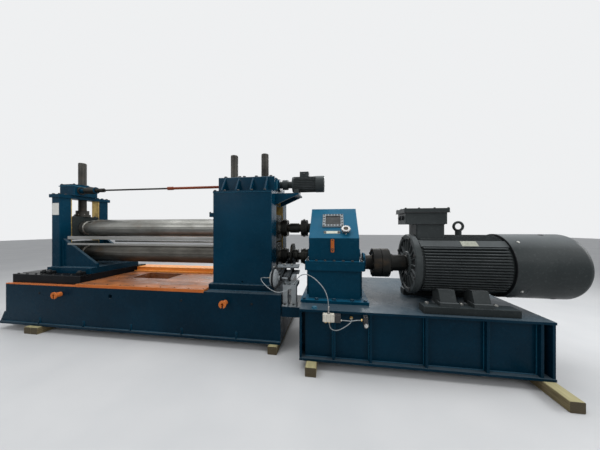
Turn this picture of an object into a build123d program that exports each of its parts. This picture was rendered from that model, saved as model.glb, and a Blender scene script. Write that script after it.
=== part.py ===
from build123d import *
import math
import os

# Rotary slitting head with its drive stand, in millimetres.
# X runs along the arbors towards the drive, Y away from the operator's side, Z up from the floor.
# X is measured here from the inner face of the fixed stand, where the knives' shoulder is.
# The finished pieces are placed so that the origin is on the floor under the arbors,
# at the middle of the bed's right-hand timber.

# Plate of the weldments
PLATE = 25
STAND_CHAMFER = 8

# Main sizes of the bed and the heights above it
TIMBER_HEIGHT = 100
TIMBER_WIDTH = 120
BED_HEIGHT = 630
BED_HALF_WIDTH = 660
BED_BOTTOM = TIMBER_HEIGHT
BED_TOP = BED_BOTTOM + BED_HEIGHT
AXIS_OVER_BED = 430
ARBOR_SPACING = 440
LOWER_AXIS_Z = BED_TOP + AXIS_OVER_BED
UPPER_AXIS_Z = LOWER_AXIS_Z + ARBOR_SPACING

# Arbors
ARBOR_R = 150
KNIFE_SEAT_LENGTH = 2460
ARBOR_SHOULDER = -40
ARBOR_LEFT = ARBOR_SHOULDER - KNIFE_SEAT_LENGTH
SHOULDER_RISE = 22
SHOULDER_WIDTH = 34
NUT_R = 138
NUT_LENGTH = 140
NUT_SLOT = 24
NUT_SLOT_DEPTH = 16
NUT_SLOT_SHARE = 0.55
THREAD_R = 112
THREAD_LENGTH = 60
THREAD_RELIEF = 8
SEAL_RING_R = 128
SEAL_RING_ROOM = 90
SEAL_RING_GAP = 6
JOURNAL_R = 100
JOURNAL_CHAMFER = 12
KEYWAY_WIDTH = 30
KEYWAY_DEPTH = 11
KEYWAY_ANGLE = 90
KEYWAY_END = 75
BEARING_GAP = 0.1
SEAL_GAP = 0.3

# Outboard stand and the table it slides on
SLIDE_STROKE = 400
OUT_THICKNESS = 160
OUT_RIGHT = ARBOR_LEFT - NUT_LENGTH - THREAD_LENGTH - SEAL_RING_ROOM
OUT_LEFT = OUT_RIGHT - OUT_THICKNESS
OUT_CENTRE = (OUT_LEFT + OUT_RIGHT) / 2
OUT_HALF_WIDTH = 400
OUT_BASE_TOE = 35
OUT_BASE_LEFT = OUT_LEFT - OUT_BASE_TOE
BUTTRESS_REACH = 655
OUT_BASE_RIGHT = OUT_RIGHT + BUTTRESS_REACH
OUT_BASE_HALF_WIDTH = 440
BUTTRESS_Y = 330
BUTTRESS_THICKNESS = 44
BUTTRESS_RISE = 260
BUTTRESS_TOP = LOWER_AXIS_Z + BUTTRESS_RISE
BUTTRESS_TOE_DROP = 150
BUTTRESS_TOE = LOWER_AXIS_Z - BUTTRESS_TOE_DROP
BUTTRESS_FILLET = 40
TABLE_MARGIN = 15
TABLE_THICKNESS = 132
TABLE_LEFT = OUT_BASE_LEFT - SLIDE_STROKE - TABLE_MARGIN
TABLE_RIGHT = OUT_BASE_RIGHT + TABLE_MARGIN
TABLE_HALF_WIDTH = 600
TABLE_TOP = BED_TOP + TABLE_THICKNESS
TABLE_CHAMFER = 6
TABLE_SLOT_WIDTH = 28
TABLE_SLOT_DEPTH = 22
TABLE_SLOT_Y = 500
OUT_WALL_RISE = 510
OUT_WALL_TOP = UPPER_AXIS_Z + OUT_WALL_RISE
OUT_PLATE = 55
OUT_PLATE_MARGIN = 22
OUT_PLATE_TOP = OUT_WALL_TOP + OUT_PLATE

# Fixed stand
STAND_LENGTH = 865
STAND_RIGHT = STAND_LENGTH
STAND_HALF_WIDTH = 500
WINDOW_HALF_WIDTH = 220
FOOT_MARGIN = 45
FOOT_THICKNESS = 80
FOOT_TOP = BED_TOP + FOOT_THICKNESS
WALL_RISE = 505
WALL_TOP = UPPER_AXIS_Z + WALL_RISE
SIDE_BLOCK = (70, 60, 60)
SIDE_BLOCK_INSET = 25
SIDE_BLOCK_RISE = 190
SIDE_BLOCK_Z = UPPER_AXIS_Z + SIDE_BLOCK_RISE
WALL_HOLE_R = 13
WALL_HOLE_DEPTH = 50
WALL_HOLE_X = 440
WALL_HOLE_RISE = 34

# Bed
BED_TABLE_MARGIN = 30
BED_LEFT = TABLE_LEFT - BED_TABLE_MARGIN
BED_STAND_MARGIN = 165
BED_RIGHT = STAND_RIGHT + BED_STAND_MARGIN
BED_FLANGE = 110
BED_FLANGE_STEP = 28
BED_FLANGE_THICKNESS = 30
BED_FLANGE_LIP = 5
BED_GUSSET_HEIGHT = 150
BED_GUSSET_TOP = 30
BED_RIB_INSET = 603
BED_RIB_FIRST = BED_RIGHT - BED_RIB_INSET
BED_RIB_PITCH = 800
BED_RIB_COUNT = 5
BED_RIB_THICKNESS = 16
BED_RIB_HEIGHT = 90
BED_HOLE_R = 32
BED_HOLE_DEPTH = 60
BED_HOLE_OFFSET = 599
BED_HOLE_X = TABLE_RIGHT + BED_HOLE_OFFSET
BED_HOLE_DROP = 132
BED_HOLE_Z = BED_TOP - BED_HOLE_DROP

# Dunnage timbers under both weldments
TIMBER_CHAMFER = 6
TIMBER_GAP = 4
BED_TIMBER_FRONT_PROUD = 85
BED_TIMBER_FRONT = -BED_HALF_WIDTH - BED_TIMBER_FRONT_PROUD
BED_TIMBER_REAR_PROUD = 40
BED_TIMBER_REAR = BED_HALF_WIDTH + BED_TIMBER_REAR_PROUD
BED_TIMBER_LEFT_INSET = 500
BED_TIMBER_LEFT_X = BED_LEFT + BED_TIMBER_LEFT_INSET
BED_TIMBER_RIGHT_INSET = 30
BED_TIMBER_RIGHT_X = BED_RIGHT - TIMBER_WIDTH - BED_TIMBER_RIGHT_INSET
ORIGIN_X = BED_TIMBER_RIGHT_X + TIMBER_WIDTH / 2

# Deck and rear beam between the stands
DECK_THICKNESS = 28
REAR_BEAM_FRONT = 330
REAR_BEAM_HEIGHT = 110
REAR_BEAM_CHAMFER = 7
REAR_LEDGE_WIDTH = 70
REAR_LEDGE_HEIGHT = 48
SCRAP_OFFSET = 420
SCRAP_LEFT = TABLE_RIGHT + SCRAP_OFFSET
SCRAP_WIDTH = 700
SCRAP_RIGHT = SCRAP_LEFT + SCRAP_WIDTH
SCRAP_FRONT = -150
SCRAP_REAR = 250
SCRAP_DEPTH = 260

# Lifting bollards on the bed's long sides
BOLLARD_INSETS = (1049, 757)
BOLLARD_PLACES = (BED_LEFT + BOLLARD_INSETS[0], BED_RIGHT - BOLLARD_INSETS[1])
BOLLARD_DROP = 130
BOLLARD_Z = BED_TOP - BOLLARD_DROP
BOLLARD_R = 34
BOLLARD_BORE_R = 20
BOLLARD_REACH = 95
BOLLARD_RIM_R = 50
BOLLARD_RIM = 18
BOLLARD_SLOT = 26
BOLLARD_SLOT_LENGTH = 57

# Chocks, their guide liners and the gap between them
SLIDE_GAP = 0.3
LINER_THICKNESS = 12
LINER_INSET = 6
CHOCK_HALF_HEIGHT = 205
CHOCK_CHAMFER = 14
CHOCK_INSET = 20
CHOCK_COVER_R = 168
CHOCK_COVER = 16
CHOCK_COVER_STEP = 6
CHOCK_COVER_INNER_R = 140
OUT_BASE_TOP = LOWER_AXIS_Z - CHOCK_HALF_HEIGHT

# Adjusting screws and their gearcase
SCREW_R = 58
SCREW_GAP = 3
SCREW_CHAMFER = 6
SCREW_PROUD = 435
DRIVE_SCREW_INSETS = (95, 248)
DRIVE_SCREW_X = (DRIVE_SCREW_INSETS[0], STAND_RIGHT - DRIVE_SCREW_INSETS[1])
COLLAR_R = 112
COLLAR_HEIGHT = 110
COLLAR_BODY_R = 92
COLLAR_FLANGE = 38
GEARCASE_HALF_WIDTH = 340
GEARCASE_HEIGHT = 225
GEARCASE_BOTTOM = WALL_TOP + PLATE
GEARCASE_TOP = GEARCASE_BOTTOM + GEARCASE_HEIGHT
GEARCASE_GUSSETS = 4
GUSSET_THICKNESS = 22
GUSSET_REACH = 120
GUSSET_TOE = 20
GUSSET_DROP = 12
GLAND_R = 92
GLAND_HEIGHT = 22
SCREW_TOP = GEARCASE_TOP + SCREW_PROUD

# Worm shaft line that joins the two stands' screws
WORM_Y = -130
WORM_RISE = 128
WORM_Z = GEARCASE_BOTTOM + WORM_RISE
WORM_SHAFT_R = 24
WORM_GLAND_R = 64
WORM_GLAND_LENGTH = 22
SYNC_ROD_R = 14
SYNC_TUBE_R = 21
SYNC_TUBE_BORE = 16
SYNC_TUBE_LEFT = -1015
SYNC_TUBE_PLUG = 40
SYNC_COLLAR_R = 28
SYNC_COLLAR_LENGTH = 95
SYNC_ROD_RIGHT = -300
SYNC_GAP = 0.5

# Worm gearcase on the outboard stand
WORM_BOX_MARGIN = 70
WORM_BOX_LEFT = OUT_LEFT - WORM_BOX_MARGIN
WORM_BOX_RIGHT = OUT_RIGHT + WORM_BOX_MARGIN
WORM_BOX_FRONT = -250
WORM_BOX_REAR = 150
WORM_BOX_HEIGHT = 195
WORM_BOX_FILLET = 24
BOSS_R = 48
BOSS_NECK_R = 36
BOSS_NECK = 100
BOSS_LENGTH = 315
BOSS_RIGHT = WORM_BOX_RIGHT + BOSS_LENGTH
BOSS_RIB_R = 56
BOSS_RIB_WIDTH = 14
JOINT_R = 34
JOINT_LENGTH = 151
JOINT_WAIST = 30
JOINT_WAIST_START = 60
JOINT_RIGHT = BOSS_RIGHT + JOINT_LENGTH

# Stripper bars carried by the fixed stand
BAR_Y = 400
BAR_OVERHANG = 110
BAR_LEFT = ARBOR_LEFT - BAR_OVERHANG
BAR_DEPTH = 30
BAR_UPPER_RISE = 280
BAR_UPPER_Z = LOWER_AXIS_Z + BAR_UPPER_RISE
BAR_UPPER_HEIGHT = 52
BAR_LOWER_RISE = 178
BAR_LOWER_Z = LOWER_AXIS_Z + BAR_LOWER_RISE
BAR_LOWER_HEIGHT = 32
BAR_CHAMFER = 3

# Screw motor and its bracket
SCREW_MOTOR_STANDOFF = 235
SCREW_MOTOR_LEFT = STAND_RIGHT + SCREW_MOTOR_STANDOFF
SCREW_MOTOR_BODY = 351
SCREW_MOTOR_COWL = 125
SCREW_MOTOR_R = 118
SCREW_MOTOR_CORE_R = 104
SCREW_MOTOR_FINS = 28
SCREW_MOTOR_FIN = 5
SCREW_MOTOR_FLANGE = 26
SCREW_MOTOR_COWL_R = 122
SCREW_MOTOR_COWL_FILLET = 16
SCREW_MOTOR_BOX = (135, 120, 80)
SCREW_MOTOR_BOX_START = 110
SCREW_MOTOR_BOX_FILLET = 10
SCREW_MOTOR_FOOT = (70, 220)
SCREW_MOTOR_FOOT_START = 30
SCREW_MOTOR_FOOT_OVERLAP = 30
SCREW_GLAND = 40
SCREW_NECK_R = 52
SCREW_CLUTCH_R = 76
SCREW_CLUTCH_START = 40
SCREW_CLUTCH_LENGTH = 80
BRACKET_REACH = 350
BRACKET_RIGHT = STAND_RIGHT + BRACKET_REACH
BRACKET_FRONT = -320
BRACKET_REAR = 60
BRACKET_ROOT = 170
BRACKET_TIP = 20

# Toothed couplings between arbors and gearbox
HUB_R = 82
HUB_HALF_WIDTH = 20
HUB_GAP = 1.0
SLEEVE_R = 128
SLEEVE_LENGTH = 96
SLEEVE_WALL_END = 10
SLEEVE_FLANGE_R = 142
SLEEVE_FLANGE = (-6, 16)
FLOAT_SHAFT_R = 62
COVER_R = 76
COVER_WALL_GAP = 0.3
COVER_HALF_LENGTH = 70
PIVOT_DISTANCE = 312
ARBOR_PIVOT_STANDOFF = 85
ARBOR_PIVOT_X = STAND_RIGHT + ARBOR_PIVOT_STANDOFF
BOX_PIVOT_X = ARBOR_PIVOT_X + PIVOT_DISTANCE
LOWER_SLEEVE_R = 115
LOWER_SLEEVE_RIDGE = 22
OUTPUT_SHAFT_R = 74

# Distribution gearbox
BOX_STANDOFF = 138
BOX_LEFT = BOX_PIVOT_X + BOX_STANDOFF
BOX_LENGTH = 630
BOX_RIGHT = BOX_LEFT + BOX_LENGTH
BOX_UPPER_INSET = 10
BOX_HALF_DEPTH = 670
BOX_FOOT = 35
BOX_FOOT_MARGIN = 95
BOX_FOOT_MARGIN_Y = 80
FLANGE_LOWER = 85
FLANGE_UPPER = 30
FLANGE_MARGIN = 48
BOX_SHOULDER_DROP = 128
BOX_SHOULDER = UPPER_AXIS_Z - BOX_SHOULDER_DROP
BOX_TOP_RISE = 274
BOX_TOP = UPPER_AXIS_Z + BOX_TOP_RISE
BOX_TOP_HALF = 230
BOX_FILLET = 10
BOX_RIB_THICKNESS = 24
BOX_RIB_REACH = 42
CAP_THICKNESS = 30
CAP_LIP = 8
CAP_CHAMFER = 4
CAP_FACE_SHARE = 0.8
INPUT_INSET = 170
INPUT_Y = -BOX_HALF_DEPTH + INPUT_INSET
INPUT_CAP_R = 122
OUTPUT_CAP_R = 130
INSPECTION_OFFSET = 302
INSPECTION_X = BOX_LEFT + INSPECTION_OFFSET
INSPECTION_SHARE = 0.55
INSPECTION_WIDTH = 275
INSPECTION_HEIGHT = 250
INSPECTION_FRAME = 36
INSPECTION_CHAMFER = 3
INSPECTION_PROUD = 22
INSPECTION_PANE = 10
BREATHER_OFFSET = 462
BREATHER_X = BOX_LEFT + BREATHER_OFFSET
BREATHER_SHARE = 0.2
BREATHER_R = 56
BREATHER_NECK_R = 35
BREATHER_NECK = 31
BREATHER_CAP = 31
BREATHER_FILLET = 10
GAUGE_OFFSET = 295
GAUGE_X = BOX_LEFT + GAUGE_OFFSET
GAUGE_RISE = 138
GAUGE_Z = LOWER_AXIS_Z + GAUGE_RISE
GAUGE_WIDTH = 42
GAUGE_HEIGHT = 165
GAUGE_DEPTH = 22
GAUGE_FILLET = 14

# Input coupling and main motor
COUPLING_STANDOFF = 85
COUPLING_LEFT = BOX_RIGHT + FLANGE_MARGIN + CAP_THICKNESS + COUPLING_STANDOFF
COUPLING_LENGTH = 203
COUPLING_RIGHT = COUPLING_LEFT + COUPLING_LENGTH
COUPLING_R = 180
COUPLING_GAP = 6
COUPLING_WEB = 20
COUPLING_RIM = 18
COUPLING_CHAMFER = 6
COUPLING_HUB_R = 112
COUPLING_HUB = 45
COUPLING_PINS = 8
COUPLING_PIN_R = 13
COUPLING_PIN_CIRCLE = 148
COUPLING_PIN_PROUD = 12
INPUT_SHAFT_R = 92
MOTOR_SHAFT_R = 72
MOTOR_Y = INPUT_Y
SHAFT_HEIGHT = 400
RAIL_HEIGHT = 80
MOTOR_SHAFT_SHOWN = 216
BELL_LENGTH = 78
BODY_LENGTH = 900
COWL_LENGTH = 710
BELL_LEFT = COUPLING_RIGHT + MOTOR_SHAFT_SHOWN
BODY_LEFT = BELL_LEFT + BELL_LENGTH
BODY_RIGHT = BODY_LEFT + BODY_LENGTH
COWL_RIGHT = BODY_RIGHT + COWL_LENGTH
MOTOR_R = 330
FIN_TIP_R = 362
FIN_COUNT = 16
FIN_PITCH = 31
FIN_TOP = 215
FIN_THICKNESS = 9
FIN_ROOT = 12
FIN_START = 20
FIN_END = 30
BAND_ANGLE = 49
BAND_WIDTH = 96
BAND_PROUD = 18
BAND_START = 6
BELL_BOSS_R = 150
BELL_RIM_R = 300
BELL_RECESS = 34
BELL_RIBS = 18
BELL_RIB_THICKNESS = 12
BELL_CHAMFER = 10
COWL_R = 368
COWL_DOME = 70
GRILLE_R = 250
GRILLE_BOSS_R = 60
GRILLE_RINGS = 5
GRILLE_WIRE = 5
GRILLE_PLATE = 6
GRILLE_DEPTH = 30
GRILLE_BARS = 4
GRILLE_BAR_WIDTH = 14
TERMINAL_HALF_WIDTH = 185
TERMINAL_OVERHANG = 150
TERMINAL_LEFT = BODY_LEFT - TERMINAL_OVERHANG
TERMINAL_LENGTH = 500
TERMINAL_RISE = 672
TERMINAL_TOP = LOWER_AXIS_Z + TERMINAL_RISE
TERMINAL_LID = 45
TERMINAL_LID_MARGIN = 20
TERMINAL_SPLIT_RISE = 486
TERMINAL_SPLIT = LOWER_AXIS_Z + TERMINAL_SPLIT_RISE
NECK_LENGTH = 310
NECK_HALF_WIDTH = 140
TERMINAL_FILLET = 18
TERMINAL_SINK = 45
EYE_OFFSET = 525
EYE_X = BODY_LEFT + EYE_OFFSET
EYE_R = 66
EYE_WIRE = 15
EYE_BASE_R = 34
EYE_BASE_HEIGHT = 75
EYE_SINK = 4
FOOT_PLACES = (143, 475)
FOOT_LENGTH = 185
FOOT_PAD = 40
FOOT_LEG_INSET = 12
FOOT_LEG_LEAN = 25
FOOT_LEG_TOP_SHARE = 0.72
FOOT_LEG_INNER_SHARE = 0.55
RAIL_Y = 340
RAIL_WIDTH = 130
RAIL_OVERHANG = 24
RAIL_MARGIN = 8
RAIL_CHAMFER = 5

# Drive base
DRIVE_TOP = LOWER_AXIS_Z - SHAFT_HEIGHT - RAIL_HEIGHT
DRIVE_LEFT_MARGIN = 80
DRIVE_LEFT = BOX_LEFT - DRIVE_LEFT_MARGIN
DRIVE_RIGHT_MARGIN = 260
DRIVE_RIGHT = BODY_RIGHT + DRIVE_RIGHT_MARGIN
DRIVE_FRONT_MARGIN = 300
DRIVE_REAR_MARGIN = 130
DRIVE_FRONT = -BOX_HALF_DEPTH - DRIVE_FRONT_MARGIN
DRIVE_REAR = BOX_HALF_DEPTH + DRIVE_REAR_MARGIN
PANEL_RECESS = 62
RIB_INSET = 12
DRIVE_RIB_OFFSETS = (0, 374, 774, 1344, 1926)
DRIVE_LAST_RIB = 126
DRIVE_WALL_INSETS = (150, 175)
DRIVE_TIMBER_LEFT_INSET = 80
DRIVE_TIMBER_LEFT_X = DRIVE_LEFT + DRIVE_TIMBER_LEFT_INSET
DRIVE_TIMBER_LEFT_PROUD = 120
DRIVE_TIMBER_LEFT_FRONT = DRIVE_FRONT - DRIVE_TIMBER_LEFT_PROUD
DRIVE_TIMBER_RIGHT_INSET = 125
DRIVE_TIMBER_RIGHT_X = DRIVE_RIGHT - DRIVE_TIMBER_RIGHT_INSET
DRIVE_TIMBER_RIGHT_PROUD = 250
DRIVE_TIMBER_RIGHT_FRONT = DRIVE_FRONT - DRIVE_TIMBER_RIGHT_PROUD
DRIVE_TIMBER_REAR_PROUD = 60
DRIVE_TIMBER_REAR = DRIVE_REAR + DRIVE_TIMBER_REAR_PROUD
SHELF_FRONT = -640
SHELF_REAR = -120
SHELF_DROP = 105
SHELF_TOP = DRIVE_TOP - SHELF_DROP
SHELF_HEIGHT = 130
SHELF_GAP = 6

# Brake disc
DISC_R = 200
DISC_OFFSET = 125
DISC_X = ARBOR_PIVOT_X + DISC_OFFSET
DISC_THICKNESS = 30
DISC_CHAMFER = 3
DISC_HUB_R = 105
DISC_HUB_LENGTH = 90

# Brake caliper: two levers on pins, spread by the chamber at their front ends
PAD_GAP = 5
PAD_THICKNESS = 22
PAD_LENGTH = 84
PAD_HEIGHT = 96
LEVER_THICKNESS = 24
LEVER_HEIGHT = 74
LEVER_TIP_HEIGHT = 46
LEVER_BOSS_R = 27
LEVER_TIP_R = 34
PIN_R = 15
PIN_GAP = 0.3
PIN_PROUD = 14
BRIDGE_THICKNESS = 18
BRIDGE_HALF_LENGTH = 46
BRIDGE_MARGIN = 100
CHAMBER_R = 132
CHAMBER_THICKNESS = 104
CHAMBER_RIM = 18
CHAMBER_BOWL = ((1, 0.45), (0.86, 0.62), (0.55, 0.8))
CHAMBER_SEAT = 0.9
CHAMBER_OFFSET = 147
CHAMBER_X = DISC_X - CHAMBER_OFFSET
CHAMBER_Y = -590
CHAMBER_DROP = 225
CHAMBER_Z = LOWER_AXIS_Z - CHAMBER_DROP
CHAMBER_NECK_R = 30
PUSH_ROD_R = 12
PAD_Y = -140
PAD_DROP = 70
PAD_Z = LOWER_AXIS_Z - PAD_DROP
LEVER_REACH = math.hypot(PAD_Y - CHAMBER_Y, PAD_Z - CHAMBER_Z)
LEVER_TILT = math.degrees(math.atan2(PAD_Z - CHAMBER_Z, PAD_Y - CHAMBER_Y))
LEVER_PIVOT = 250
PEDESTAL_THICKNESS = 44
PEDESTAL_FRONT = -430
PEDESTAL_REAR = -300
POST_WIDTH = 60
POST_OFFSETS = (2, 117)
POST_PLACES = [DISC_X + offset for offset in POST_OFFSETS]
POST_FRONT = -600
POST_REAR = -490
POST_HEIGHT = 225
POST_TOP = SHELF_TOP + POST_HEIGHT
POST_FOOT = 22
POST_FOOT_MARGIN = 6
POST_FOOT_MARGIN_Y = 30
CARRIER_THICKNESS = 50
CARRIER_REAR = -290

# Air supply for the brake
VALVE_OFFSET = 269
VALVE_LEFT = DRIVE_LEFT + VALVE_OFFSET
VALVE_WIDTH = 126
VALVE_HEIGHT = 80
VALVE_RIGHT = VALVE_LEFT + VALVE_WIDTH
VALVE_TOP = DRIVE_TOP - PLATE
VALVE_BOTTOM = VALVE_TOP - VALVE_HEIGHT
VALVE_DEPTH = 58
VALVE_BACK = 12
VALVE_FILLET = 8
VALVE_PORT = 24
VALVE_PORT_LENGTH = 14
SOLENOID_WIDTH = 62
SOLENOID_HEIGHT = 86
SOLENOID_DEPTH = 48
SOLENOID_BACK = 24
SOLENOID_GAP = 4
SOLENOID_FILLET = 6
SOLENOID_PORT_Y = 28
REGULATOR_OFFSET = 726
REGULATOR_X = DRIVE_LEFT + REGULATOR_OFFSET
REGULATOR_R = 26
REGULATOR_BOWL_R = 18
REGULATOR_DEPTH = 36
REGULATOR_DROP = 127
REGULATOR_BOTTOM = VALVE_TOP - REGULATOR_DROP
REGULATOR_BODY_DROP = 95
REGULATOR_BODY_BOTTOM = VALVE_TOP - REGULATOR_BODY_DROP
REGULATOR_TOP_DROP = 15
REGULATOR_BODY_TOP = VALVE_TOP - REGULATOR_TOP_DROP
REGULATOR_BRACKET = 44
REGULATOR_BRACKET_DROP = 45
REGULATOR_BRACKET_BOTTOM = VALVE_TOP - REGULATOR_BRACKET_DROP
REGULATOR_PORT_DROP = 49
REGULATOR_PORT_Z = VALVE_TOP - REGULATOR_PORT_DROP
GAUGE_DIAL_R = 21
GAUGE_DIAL_DEPTH = 24
GAUGE_DIAL_DROP = 83
GAUGE_DIAL_Z = VALVE_TOP - GAUGE_DIAL_DROP
HOSE_R = 5
FITTING_R = 9
FITTING_NUT_R = 16
FITTING_NUT = 10
FITTING_LENGTH = 34
PANEL_FITTING_OFFSET = 583
PANEL_FITTING_X = DRIVE_LEFT + PANEL_FITTING_OFFSET
PANEL_FITTING_DROP = 88
PANEL_FITTING_Z = DRIVE_TOP - PANEL_FITTING_DROP

# Air hoses: route points from one fitting to the other, chosen by hand
BRAKE_HOSE = (
    (1652, -999, 679), (1652, -999, 752), (1641, -999, 836), (1607, -984, 918), (1543, -944, 984),
    (1465, -884, 1030), (1378, -826, 1052), (1298, -790, 1020), (1242, -782, 938), (1186, -788, 864),
    (1110, -796, 820), (1024, -800, 803), (944, -800, 832), (874, -786, 876), (816, -752, 918),
    (778, -696, 938), (762, -625, 939), (798, -590, 935), (876, -590, 935),
)
RETURN_HOSE = (
    (1660, -999, 561), (1660, -999, 515), (1690, -1008, 484), (1750, -1020, 486), (1812, -1026, 523),
    (1876, -1030, 572), (1903, -998, 592), (1903, -942, 592),
)
SUPPLY_HOSE = ((1998, -1006, 606), (1952, -1006, 606), (1896, -1024, 598), (1840, -998, 591), (1795, -998, 591))

# How far two united solids reach into each other
WELD = 1.0


def block(x0, x1, y0, y1, z0, z1):
    """A box between two opposite corners."""
    centre = ((x0 + x1) / 2, (y0 + y1) / 2, (z0 + z1) / 2)
    return Pos(*centre) * Box(abs(x1 - x0), abs(y1 - y0), abs(z1 - z0))


def disc_x(x0, x1, y, z, radius):
    """A cylinder along X between two stations."""
    return Pos((x0 + x1) / 2, y, z) * Rot(0, 90, 0) * Cylinder(radius, abs(x1 - x0))


def disc_y(x, y0, y1, z, radius):
    """A cylinder along Y between two stations."""
    return Pos(x, (y0 + y1) / 2, z) * Rot(90, 0, 0) * Cylinder(radius, abs(y1 - y0))


def disc_z(x, y, z0, z1, radius):
    """A cylinder along Z between two heights."""
    return Pos(x, y, (z0 + z1) / 2) * Cylinder(radius, abs(z1 - z0))


def turned(profile, y, z):
    """A body turned about the X-parallel line through y, z from (x, radius) points."""
    points = [(x, y, z + r) for x, r in profile]
    face = make_face(Polyline(*points, close=True))
    return revolve(face, Axis((0, y, z), (1, 0, 0)))


def xz_plate(points, y0, y1):
    """A plate with an outline in the XZ plane, between two stations of Y."""
    outline = make_face(Polyline(*[(x, y0, z) for x, z in points], close=True))
    return extrude(outline, dir=(0, 1, 0), amount=y1 - y0)


def yz_plate(points, x0, x1):
    """A plate with an outline in the YZ plane, between two stations of X."""
    outline = make_face(Polyline(*[(x0, y, z) for y, z in points], close=True))
    return extrude(outline, dir=(1, 0, 0), amount=x1 - x0)


def eased(part, size, axis=None):
    """Chamfer the long edges along one axis, or every edge."""
    edges = part.edges() if axis is None else part.edges().filter_by(axis)
    return chamfer(edges, size)


def timber(x, front, rear):
    """One sawn beam lying along Y with eased arrises."""
    return eased(block(x, x + TIMBER_WIDTH, front, rear, 0, TIMBER_HEIGHT), TIMBER_CHAMFER, Axis.Y)


def timbers():
    """Three beams under the bed and two under the drive base."""
    places = (BED_TIMBER_LEFT_X, BED_TIMBER_LEFT_X + TIMBER_WIDTH + TIMBER_GAP, BED_TIMBER_RIGHT_X)
    beams = [timber(x, BED_TIMBER_FRONT, BED_TIMBER_REAR) for x in places]
    beams.append(timber(DRIVE_TIMBER_LEFT_X, DRIVE_TIMBER_LEFT_FRONT, DRIVE_TIMBER_REAR))
    beams.append(timber(DRIVE_TIMBER_RIGHT_X, DRIVE_TIMBER_RIGHT_FRONT, DRIVE_TIMBER_REAR))
    return beams


def bed_frame():
    """Welded box bed: proud foot strip with ribs, end flange with gussets, round holes and scrap pit."""
    strip_top = BED_BOTTOM + BED_FLANGE_THICKNESS
    body = block(BED_LEFT, BED_RIGHT, -BED_HALF_WIDTH, BED_HALF_WIDTH, BED_BOTTOM, BED_TOP)
    half = BED_HALF_WIDTH + BED_FLANGE_STEP
    body += block(BED_LEFT - BED_FLANGE, BED_RIGHT, -half, half, BED_BOTTOM, strip_top)
    gusset = [
        (BED_LEFT + WELD, strip_top - WELD),
        (BED_LEFT - BED_FLANGE + BED_FLANGE_LIP, strip_top - WELD),
        (BED_LEFT - BED_GUSSET_TOP, strip_top + BED_GUSSET_HEIGHT),
        (BED_LEFT + WELD, strip_top + BED_GUSSET_HEIGHT),
    ]
    for y in (-BED_HALF_WIDTH, -PLATE / 2, BED_HALF_WIDTH - PLATE):
        body += xz_plate(gusset, y, y + PLATE)
    for side in (-1, 1):
        face = side * BED_HALF_WIDTH
        rib = [
            (face - side * WELD, strip_top - WELD),
            (side * (half - BED_FLANGE_LIP), strip_top - WELD),
            (face - side * WELD, strip_top + BED_RIB_HEIGHT),
        ]
        for n in range(BED_RIB_COUNT):
            x = BED_RIB_FIRST - n * BED_RIB_PITCH
            body += yz_plate(rib, x - BED_RIB_THICKNESS / 2, x + BED_RIB_THICKNESS / 2)
        body -= disc_y(BED_HOLE_X, face - side * BED_HOLE_DEPTH, face + side, BED_HOLE_Z, BED_HOLE_R)
    pit_floor = BED_TOP - SCRAP_DEPTH
    return body - block(SCRAP_LEFT, SCRAP_RIGHT, SCRAP_FRONT, SCRAP_REAR, pit_floor, BED_TOP + 1)


def slideway_table():
    """Thick ground table with two oil grooves that the outboard stand slides on."""
    table = block(TABLE_LEFT, TABLE_RIGHT, -TABLE_HALF_WIDTH, TABLE_HALF_WIDTH, BED_TOP, TABLE_TOP)
    table = eased(table, TABLE_CHAMFER, Axis.X)
    for side in (-1, 1):
        y = side * TABLE_SLOT_Y
        half = TABLE_SLOT_WIDTH / 2
        groove_floor = TABLE_TOP - TABLE_SLOT_DEPTH
        table -= block(TABLE_LEFT - 1, TABLE_RIGHT + 1, y - half, y + half, groove_floor, TABLE_TOP + 1)
    return table


def deck_plate():
    """Deck between the table and the fixed stand, open over the scrap pit."""
    right = -FOOT_MARGIN
    deck_top = BED_TOP + DECK_THICKNESS
    deck = block(TABLE_RIGHT, right, -BED_HALF_WIDTH, REAR_BEAM_FRONT, BED_TOP, deck_top)
    return deck - block(SCRAP_LEFT, SCRAP_RIGHT, SCRAP_FRONT, SCRAP_REAR, BED_TOP - 1, deck_top + 1)


def rear_beam():
    """Raised beam along the rear of the deck, with a lower ledge in front."""
    beam_front = REAR_BEAM_FRONT + REAR_LEDGE_WIDTH
    beam_top = BED_TOP + REAR_BEAM_HEIGHT
    ledge_top = BED_TOP + REAR_LEDGE_HEIGHT
    outline = [
        (REAR_BEAM_FRONT, BED_TOP), (REAR_BEAM_FRONT, ledge_top), (beam_front, ledge_top),
        (beam_front, beam_top - REAR_BEAM_CHAMFER), (beam_front + REAR_BEAM_CHAMFER, beam_top),
        (BED_HALF_WIDTH - REAR_BEAM_CHAMFER, beam_top), (BED_HALF_WIDTH, beam_top - REAR_BEAM_CHAMFER),
        (BED_HALF_WIDTH, BED_TOP),
    ]
    return yz_plate(outline, TABLE_RIGHT, -FOOT_MARGIN)


def lifting_bollards():
    """Pipe lugs welded to the bed's sides, each with a slotted rim."""
    lugs = []
    for side in (-1, 1):
        root = side * BED_HALF_WIDTH
        tip = root + side * BOLLARD_REACH
        for x in BOLLARD_PLACES:
            lug = disc_y(x, root, tip, BOLLARD_Z, BOLLARD_R)
            lug += disc_y(x, tip - side * BOLLARD_RIM, tip, BOLLARD_Z, BOLLARD_RIM_R)
            lug -= disc_y(x, root, tip + side, BOLLARD_Z, BOLLARD_BORE_R)
            half = BOLLARD_SLOT / 2
            slot_root = tip - side * BOLLARD_SLOT_LENGTH
            lug -= block(x - half, x + half, slot_root, tip + side, BOLLARD_Z - BOLLARD_RIM_R - 1, BOLLARD_Z)
            lugs.append(lug)
    return lugs


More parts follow.
